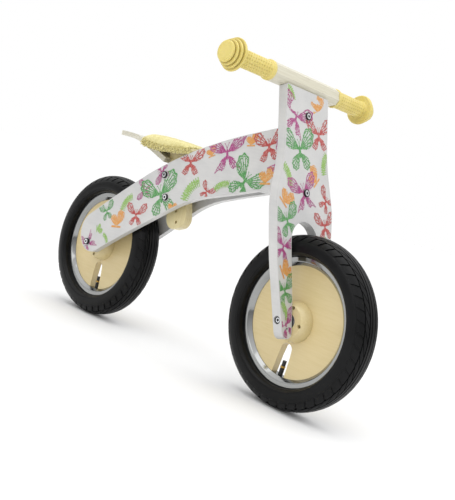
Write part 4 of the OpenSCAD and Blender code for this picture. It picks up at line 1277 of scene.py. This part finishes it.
def soft_grip_rubber():
    """Soft thermoplastic rubber, cream yellow: matt, a little waxy, with light coming a
    short way into it, and a fine mould grain."""
    material, tree, shader = new_material(
        "cream-yellow grip rubber",
        {
            "Roughness": 0.48,
            "Subsurface Weight": 0.12,
            "Subsurface Radius": (0.004, 0.003, 0.001),
            "Subsurface Scale": 0.5,
            "Specular IOR Level": 0.4,
        },
    )
    place = add_node(tree, "ShaderNodeTexCoord").outputs["Object"]
    cloud = add_node(
        tree, "ShaderNodeTexNoise", {"Scale": 40.0, "Detail": 3.0, "Roughness": 0.6}, {"Vector": place}
    )
    tint = add_node(
        tree, "ShaderNodeValToRGB", {"color_ramp": ((0.3, "#d6c36c"), (0.7, "#e0cf80"))}, {"Fac": cloud}
    )
    # Painted shade darkens what is pressed in, the dimples the more the deeper and the flange's grooves
    # evenly, and the piece carries how deep each place is
    hollow = add_node(tree, "ShaderNodeAttribute", {"attribute_name": "hollow"})
    shaded_hollows = add_node(
        tree, "ShaderNodeMix", {"data_type": "RGBA", 7: linear("#a08c42")},
        {0: hollow.outputs["Fac"], 6: tint},
    )
    grain = add_node(
        tree, "ShaderNodeTexNoise", {"Scale": 1500.0, "Detail": 2.0, "Roughness": 0.6},
        {"Vector": place},
    )
    bump = add_node(
        tree, "ShaderNodeBump", {"Strength": 0.15, "Distance": 0.0002}, {"Height": grain}
    )
    link_inputs(shader, {"Base Color": shaded_hollows.outputs[2], "Normal": bump})
    return material


def grip_profile():
    """The grip's outside from its collar to its end disc, closed along the bar, in mm from
    the collar's inner face."""
    long = GRIP_END - GRIP_START
    flange = long - FLANGE_LONG
    outside = [
        (11.0, 0.0), (GRIP_R + 2.5, 0.0), (GRIP_R + 2.5, 6.0), (GRIP_R, 7.5), (GRIP_R, flange - 2.0),
        (GRIP_R + 2.0, flange), (FLANGE_R - 1.5, flange), (FLANGE_R, flange + 2.0), (FLANGE_R, flange + 5.0),
        (FLANGE_R - 6.0, flange + 5.6), (FLANGE_R - 6.0, flange + 7.2), (FLANGE_R - 3.2, flange + 7.8),
        (FLANGE_R - 3.4, flange + 11.8), (FLANGE_R - 9.0, flange + 12.4), (FLANGE_R - 9.0, flange + 14.0),
        (FLANGE_R - 6.6, flange + 14.6), (FLANGE_R - 6.8, flange + 18.4), (FLANGE_R - 12.0, flange + 19.0),
        (FLANGE_R - 12.0, flange + 20.4), (FLANGE_R - 10.4, flange + 21.0), (FLANGE_R - 10.6, long - 1.2),
        (FLANGE_R - 13.5, long), (0.0, long), (0.0, long - 8.0), (11.0, long - 8.0),
    ]
    radii = [0.3, 1.2, 1.6, 1.0, 1.5, 1.5, 0.8, 1.2, 1.2] + [0.5, 0.5, 1.2, 1.2] * 3 + [1.5, 0, 0, 0]
    return rounded_profile(outside, radii, 4)


def fill_long_runs(profile, longest):
    """Adds points along the profile's straight runs, so that dimples can be pressed in."""
    filled = []
    for k, p in enumerate(profile):
        q = profile[(k + 1) % len(profile)]
        filled.append(p)
        on_body = abs(p[0] - GRIP_R) < 0.2 and abs(q[0] - GRIP_R) < 0.2
        parts = int((Vector(q) - Vector(p)).length / longest) if on_body else 0
        for i in range(1, parts):
            filled.append(Vector(p) + (Vector(q) - Vector(p)) * i / parts)
    return filled


def press_dimples(mesh, bar_centre, first, last):
    """Pushes rows of round dimples into the grip's body, each row half a pitch on, and notes
    how deep each place lies in a dimple or in a groove of the flange, for the painted shade there."""
    spacing = math.tau / DIMPLE_ROWS
    hollow = mesh.attributes.new("hollow", "FLOAT", "POINT")
    for vertex in mesh.vertices:
        y = abs(vertex.co.y) / MM
        dx = vertex.co.x - bar_centre.x
        dz = vertex.co.z - bar_centre.z
        r = math.hypot(dx, dz) / MM
        in_groove = any(
            abs(y - GRIP_END + FLANGE_LONG - middle) < 1.0 and r < groove_r
            for middle, groove_r in ((6.4, FLANGE_R - 4), (13.2, FLANGE_R - 7.5), (19.7, FLANGE_R - 11))
        )
        hollow.data[vertex.index].value = 0.8 if in_groove else 0.0
        if not (first < y < last) or abs(r - GRIP_R) > 0.3:
            continue
        turn = math.atan2(dz, dx)
        row = round(turn / spacing)
        beside = (turn - row * spacing) * GRIP_R
        start = first + DIMPLE_PITCH * (0.75 if row % 2 else 0.25)
        along = (y - start) - DIMPLE_PITCH * round((y - start) / DIMPLE_PITCH)
        reach = math.hypot(beside, along) / DIMPLE_R
        if reach < 1:
            depth = DIMPLE_DEPTH * (1 - reach**2)
            hollow.data[vertex.index].value = 0.5 * (1 - reach**2)
            share = (r - depth) / r
            vertex.co.x = bar_centre.x + dx * share
            vertex.co.z = bar_centre.z + dz * share
    mesh.update()


grip_rubber = soft_grip_rubber()
bar_centre = (Vector(grip_box[0]) + Vector(grip_box[1])) / 2
bar_centre.y = 0
for side, sign in (("left", 1), ("right", -1)):
    profile = [(p[0], sign * (GRIP_START + p[1])) for p in fill_long_runs(grip_profile(), 0.62)]
    mesh = turned_mesh(f"{side}_rubber_grip", profile, bar_centre, GRIP_STEPS)
    press_dimples(mesh, bar_centre, GRIP_START + 10, GRIP_END - 30)
    grip = add_piece(f"{side}_rubber_grip", mesh, "fork", grip_rubber)
    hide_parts(f"grip_{side}")

# ---------------------------------------------------------------------------------------
# Seat cushion: foam under a pale yellow fleece cover, pulled down over the seat shell and
# stapled under its rim, where the gathered pile stands out as a soft fringe.
# ---------------------------------------------------------------------------------------
FOAM_SWELL = 0.008
CROWN_DROP = 0.007
CLOTH_FRAMES = 20
RIM_DRAW = 0.03
TOP_DRAW = 0.07
# The pile clumps about 4 mm and 11 mm across: each is (clumps a metre, height in metres)
PILE_CLUMPS = ((260, 0.0006), (90, 0.0007))


def fleece():
    """Short-pile polyester fleece: matt with a soft sheen at glancing angles, and clumped
    pile 1.5 to 3 mm across that breaks up the light."""
    material, tree, shader = new_material(
        "pale yellow polyester fleece",
        {
            "Roughness": 0.92,
            "Sheen Weight": 0.45,
            "Sheen Roughness": 0.4,
            "Sheen Tint": linear("#fff6cf"),
            "Specular IOR Level": 0.15,
        },
    )
    place = add_node(tree, "ShaderNodeTexCoord").outputs["Object"]
    pile = add_node(
        tree, "ShaderNodeTexNoise", {"Scale": 420.0, "Detail": 4.0, "Roughness": 0.6}, {"Vector": place}
    )
    clumps = add_node(
        tree, "ShaderNodeTexNoise", {"Scale": 90.0, "Detail": 3.0, "Roughness": 0.6}, {"Vector": place}
    )
    mix = add_node(
        tree, "ShaderNodeMath", {"operation": "MULTIPLY_ADD", 1: 0.7}, {0: clumps, 2: pile}
    )
    tint = add_node(
        tree, "ShaderNodeValToRGB", {"color_ramp": ((0.6, "#cfc384"), (1.0, "#e4dca4"))}, {"Fac": mix}
    )
    bump = add_node(tree, "ShaderNodeBump", {"Strength": 0.55, "Distance": 0.0012}, {"Height": mix})
    link_inputs(shader, {"Base Color": tint, "Normal": bump})
    return material


def pillow_mesh():
    """The cushion's closed solid, drawn in a little towards its top, before it swells."""
    solid = merged_copy("seat_cushion")
    low, high = (Vector(c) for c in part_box("seat_cushion"))
    middle = (low + high) / 2
    for vertex in solid.verts:
        height = (vertex.co.z - low.z) / (high.z - low.z)
        pull = 1.0 - RIM_DRAW - TOP_DRAW * max(0.0, height - 0.45)
        vertex.co.x = middle.x + (vertex.co.x - middle.x) * (pull + 0.01)
        vertex.co.y = middle.y + (vertex.co.y - middle.y) * pull
    mesh = bpy.data.meshes.new("fleece_cushion")
    solid.to_mesh(mesh)
    solid.free()
    return mesh


cushion = bpy.data.objects.new("fleece_cushion", pillow_mesh())
bpy.context.scene.collection.objects.link(cushion)
remesh = cushion.modifiers.new("remesh", "REMESH")
remesh.mode = "VOXEL"
remesh.voxel_size = 0.004
apply_modifiers(cushion)
cushion_low, cushion_high = (Vector(c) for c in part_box("seat_cushion"))
cushion_middle = (cushion_low + cushion_high) / 2
cushion_reach = (cushion_high - cushion_low) / 2
for vertex in cushion.data.vertices:
    # Crowned: full height along the middle, rolling off towards the rim
    beside = [abs(vertex.co[axis] - cushion_middle[axis]) / cushion_reach[axis] for axis in range(2)]
    toward_rim = min(1.0, (beside[0] ** 3 + beside[1] ** 3) ** (1 / 3))
    height = (vertex.co.z - cushion_low.z) / (cushion_high.z - cushion_low.z)
    vertex.co.z -= CROWN_DROP * toward_rim**4 * max(0.0, height)
rest_places = [v.co.copy() for v in cushion.data.vertices]
cushion.data.update()
held = cushion.vertex_groups.new(name="stapled underside")
under = [v.index for v in cushion.data.vertices if v.normal.z < -0.3]
held.add(under, 1.0, "REPLACE")
cloth = cushion.modifiers.new("cloth", "CLOTH")
cloth.settings.vertex_group_mass = held.name
cloth.settings.quality = 6
cloth.settings.mass = 0.3
cloth.settings.tension_stiffness = 12
cloth.settings.compression_stiffness = 12
cloth.settings.bending_stiffness = 0.6
cloth.settings.use_pressure = True
cloth.settings.uniform_pressure_force = 4.0
cloth.settings.effector_weights.gravity = 0.0
cloth.point_cache.frame_start = 1
cloth.point_cache.frame_end = CLOTH_FRAMES
for step in range(1, CLOTH_FRAMES + 1):
    bpy.context.scene.frame_set(step)
apply_modifiers(cushion)
bpy.context.scene.frame_set(1)
for vertex, rest in zip(cushion.data.vertices, rest_places):
    move = vertex.co - rest
    if move.length > FOAM_SWELL:
        vertex.co = rest + move.normalized() * FOAM_SWELL
cushion.vertex_groups.clear()
smooth = cushion.modifiers.new("smooth", "SMOOTH")
smooth.factor = 0.6
smooth.iterations = 10
finer = cushion.modifiers.new("finer", "SUBSURF")
finer.levels = 1
finer.render_levels = 1
apply_modifiers(cushion)
for vertex in cushion.data.vertices:
    # The pile is left smooth where the cover lies on the shell
    if vertex.normal.z > -0.5:
        clump = sum(noise.noise(vertex.co * scale) * height for scale, height in PILE_CLUMPS)
        vertex.co += vertex.normal * clump
cushion.data.shade_smooth()
cushion_fleece = fleece()
cushion.data.materials.clear()
cushion.data.materials.append(cushion_fleece)
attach(cushion, "frame")
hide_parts("seat_cushion")

# ---------------------------------------------------------------------------------------
# Hem of the cover: gathered fleece that hangs over the edge of the birch shell, where it
# is stapled from below, with its pile standing out in short uneven tufts.
# ---------------------------------------------------------------------------------------
HEM_STEPS = 240
HEM_GATHERS = 44
HEM_DROP = 0.0085
HEM_CLEARANCE = 0.0012
GATHER_DEPTH = 0.0009


def pile_tree(material):
    """Node tree that stands tufts on a mesh's faces, apart from those that look down, each
    leaning its own way."""
    tree = bpy.data.node_groups.new("pile on a cover", "GeometryNodeTree")
    tree.interface.new_socket("Geometry", in_out="INPUT", socket_type="NodeSocketGeometry")
    for name in ("Density", "Length", "Width", "Lean"):
        tree.interface.new_socket(name, in_out="INPUT", socket_type="NodeSocketFloat")
    tree.interface.new_socket("Seed", in_out="INPUT", socket_type="NodeSocketInt")
    tree.interface.new_socket("Geometry", in_out="OUTPUT", socket_type="NodeSocketGeometry")
    given = add_node(tree, "NodeGroupInput")
    result = add_node(tree, "NodeGroupOutput")
    facing = add_node(tree, "GeometryNodeInputNormal")
    facing_axes = add_node(tree, "ShaderNodeSeparateXYZ", links={"Vector": facing.outputs[0]})
    outward = add_node(
        tree, "ShaderNodeMath", {"operation": "GREATER_THAN", 1: -0.25}, {0: facing_axes.outputs["Z"]}
    )
    roots = add_node(
        tree, "GeometryNodeDistributePointsOnFaces", links={
            "Mesh": given.outputs["Geometry"], "Selection": outward,
            "Density": given.outputs["Density"], "Seed": given.outputs["Seed"],
        },
    )
    tip = add_node(tree, "ShaderNodeMath", {"operation": "MULTIPLY", 1: 0.3}, {0: given.outputs["Width"]})
    tuft = add_node(
        tree, "GeometryNodeMeshCone", {"Vertices": 4}, {
            "Radius Bottom": given.outputs["Width"], "Radius Top": tip,
            "Depth": given.outputs["Length"],
        },
    )
    negative = add_node(
        tree, "ShaderNodeMath", {"operation": "MULTIPLY", 1: -1.0}, {0: given.outputs["Lean"]}
    )
    lean = add_node(
        tree, "FunctionNodeRandomValue", {"data_type": "FLOAT_VECTOR"}, {
            0: negative, 1: given.outputs["Lean"], "Seed": given.outputs["Seed"]
        },
    )
    leaning = add_node(tree, "FunctionNodeEulerToRotation", links={"Euler": lean.outputs["Value"]})
    turned = add_node(
        tree, "FunctionNodeRotateRotation", {"rotation_space": "LOCAL"}, {
            "Rotation": roots.outputs["Rotation"], "Rotate By": leaning
        },
    )
    size = add_node(
        tree, "FunctionNodeRandomValue", {"data_type": "FLOAT", 2: 0.6, 3: 1.3},
        {"Seed": given.outputs["Seed"]},
    )
    tufts = add_node(
        tree, "GeometryNodeInstanceOnPoints", links={
            "Points": roots, "Instance": tuft,
            "Rotation": turned, "Scale": size.outputs[1],
        },
    )
    real = add_node(tree, "GeometryNodeRealizeInstances", links={"Geometry": tufts})
    dyed = add_node(tree, "GeometryNodeSetMaterial", {"Material": material}, {"Geometry": real})
    link_inputs(result, {"Geometry": dyed})
    return tree


def rim_of(mesh, middle):
    """For each direction round the middle, how far the cushion reaches and the lowest
    height near its rim, both evened out along the rim."""
    places = np.array([vertex.co for vertex in mesh.vertices])
    turns = np.arctan2(places[:, 1] - middle.y, places[:, 0] - middle.x)
    distance = np.hypot(places[:, 1] - middle.y, places[:, 0] - middle.x)
    reach = np.zeros(HEM_STEPS)
    foot = np.zeros(HEM_STEPS)
    for k in range(HEM_STEPS):
        off = np.abs((turns - math.tau * k / HEM_STEPS + math.pi) % math.tau - math.pi)
        near = off < 0.03
        reach[k] = distance[near].max()
        foot[k] = places[near & (distance > reach[k] - 0.006), 2].min()
    share = np.ones(9) / 9
    return [
        np.convolve(np.concatenate([line[-4:], line, line[:4]]), share, "valid") for line in (reach, foot)
    ]


def hem_mesh(reach, foot, middle):
    """The gathered hem, from inside the cushion's rim down past the shell's edge."""
    half_width, shell_half_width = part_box("seat_cushion")[1][1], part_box("seat_base")[1][1]
    overhang = max(0.0, shell_half_width - half_width) + HEM_CLEARANCE
    # How far each row stands above the rim's foot and outside it
    rows = [
        (0.005, -0.0025), (0.001, overhang - 0.0002), (-0.004, overhang + 0.0008), (-HEM_DROP, overhang),
    ]
    hem = bmesh.new()
    rings = []
    for number, (rise, out) in enumerate(rows):
        ring = []
        for k in range(HEM_STEPS):
            turn = math.tau * k / HEM_STEPS
            gather = GATHER_DEPTH * math.sin(HEM_GATHERS * turn + 0.8 * math.sin(5 * turn)) * number / 3
            r = reach[k] + out + gather
            place = Vector((r * math.cos(turn), r * math.sin(turn), foot[k] + rise + 0.8 * gather))
            ring.append(hem.verts.new(Vector((middle.x, middle.y, 0)) + place))
        rings.append(ring)
    for upper, lower in zip(rings, rings[1:]):
        for k in range(HEM_STEPS):
            following = (k + 1) % HEM_STEPS
            hem.faces.new((upper[k], lower[k], lower[following], upper[following]))
    mesh = bpy.data.meshes.new("hem")
    hem.to_mesh(mesh)
    hem.free()
    return mesh


hem = hem_mesh(*rim_of(cushion.data, cushion_middle), cushion_middle)
holder = bpy.data.objects.new("tufts", hem.copy())
bpy.context.scene.collection.objects.link(holder)
pile = holder.modifiers.new("pile", "NODES")
pile.node_group = pile_tree(cushion_fleece)
set_inputs(pile, {"Density": 240000.0, "Length": 0.0038, "Width": 0.0009, "Lean": 0.7, "Seed": 3})
apply_modifiers(holder)
cover = bmesh.new()
cover.from_mesh(hem)
cover.from_mesh(holder.data)
bpy.data.objects.remove(holder)
hem_piece_mesh = bpy.data.meshes.new("fleece_hem")
cover.to_mesh(hem_piece_mesh)
cover.free()
hem_piece_mesh.materials.clear()
hem_piece_mesh.shade_smooth()
add_piece("fleece_hem", hem_piece_mesh, "frame", cushion_fleece)
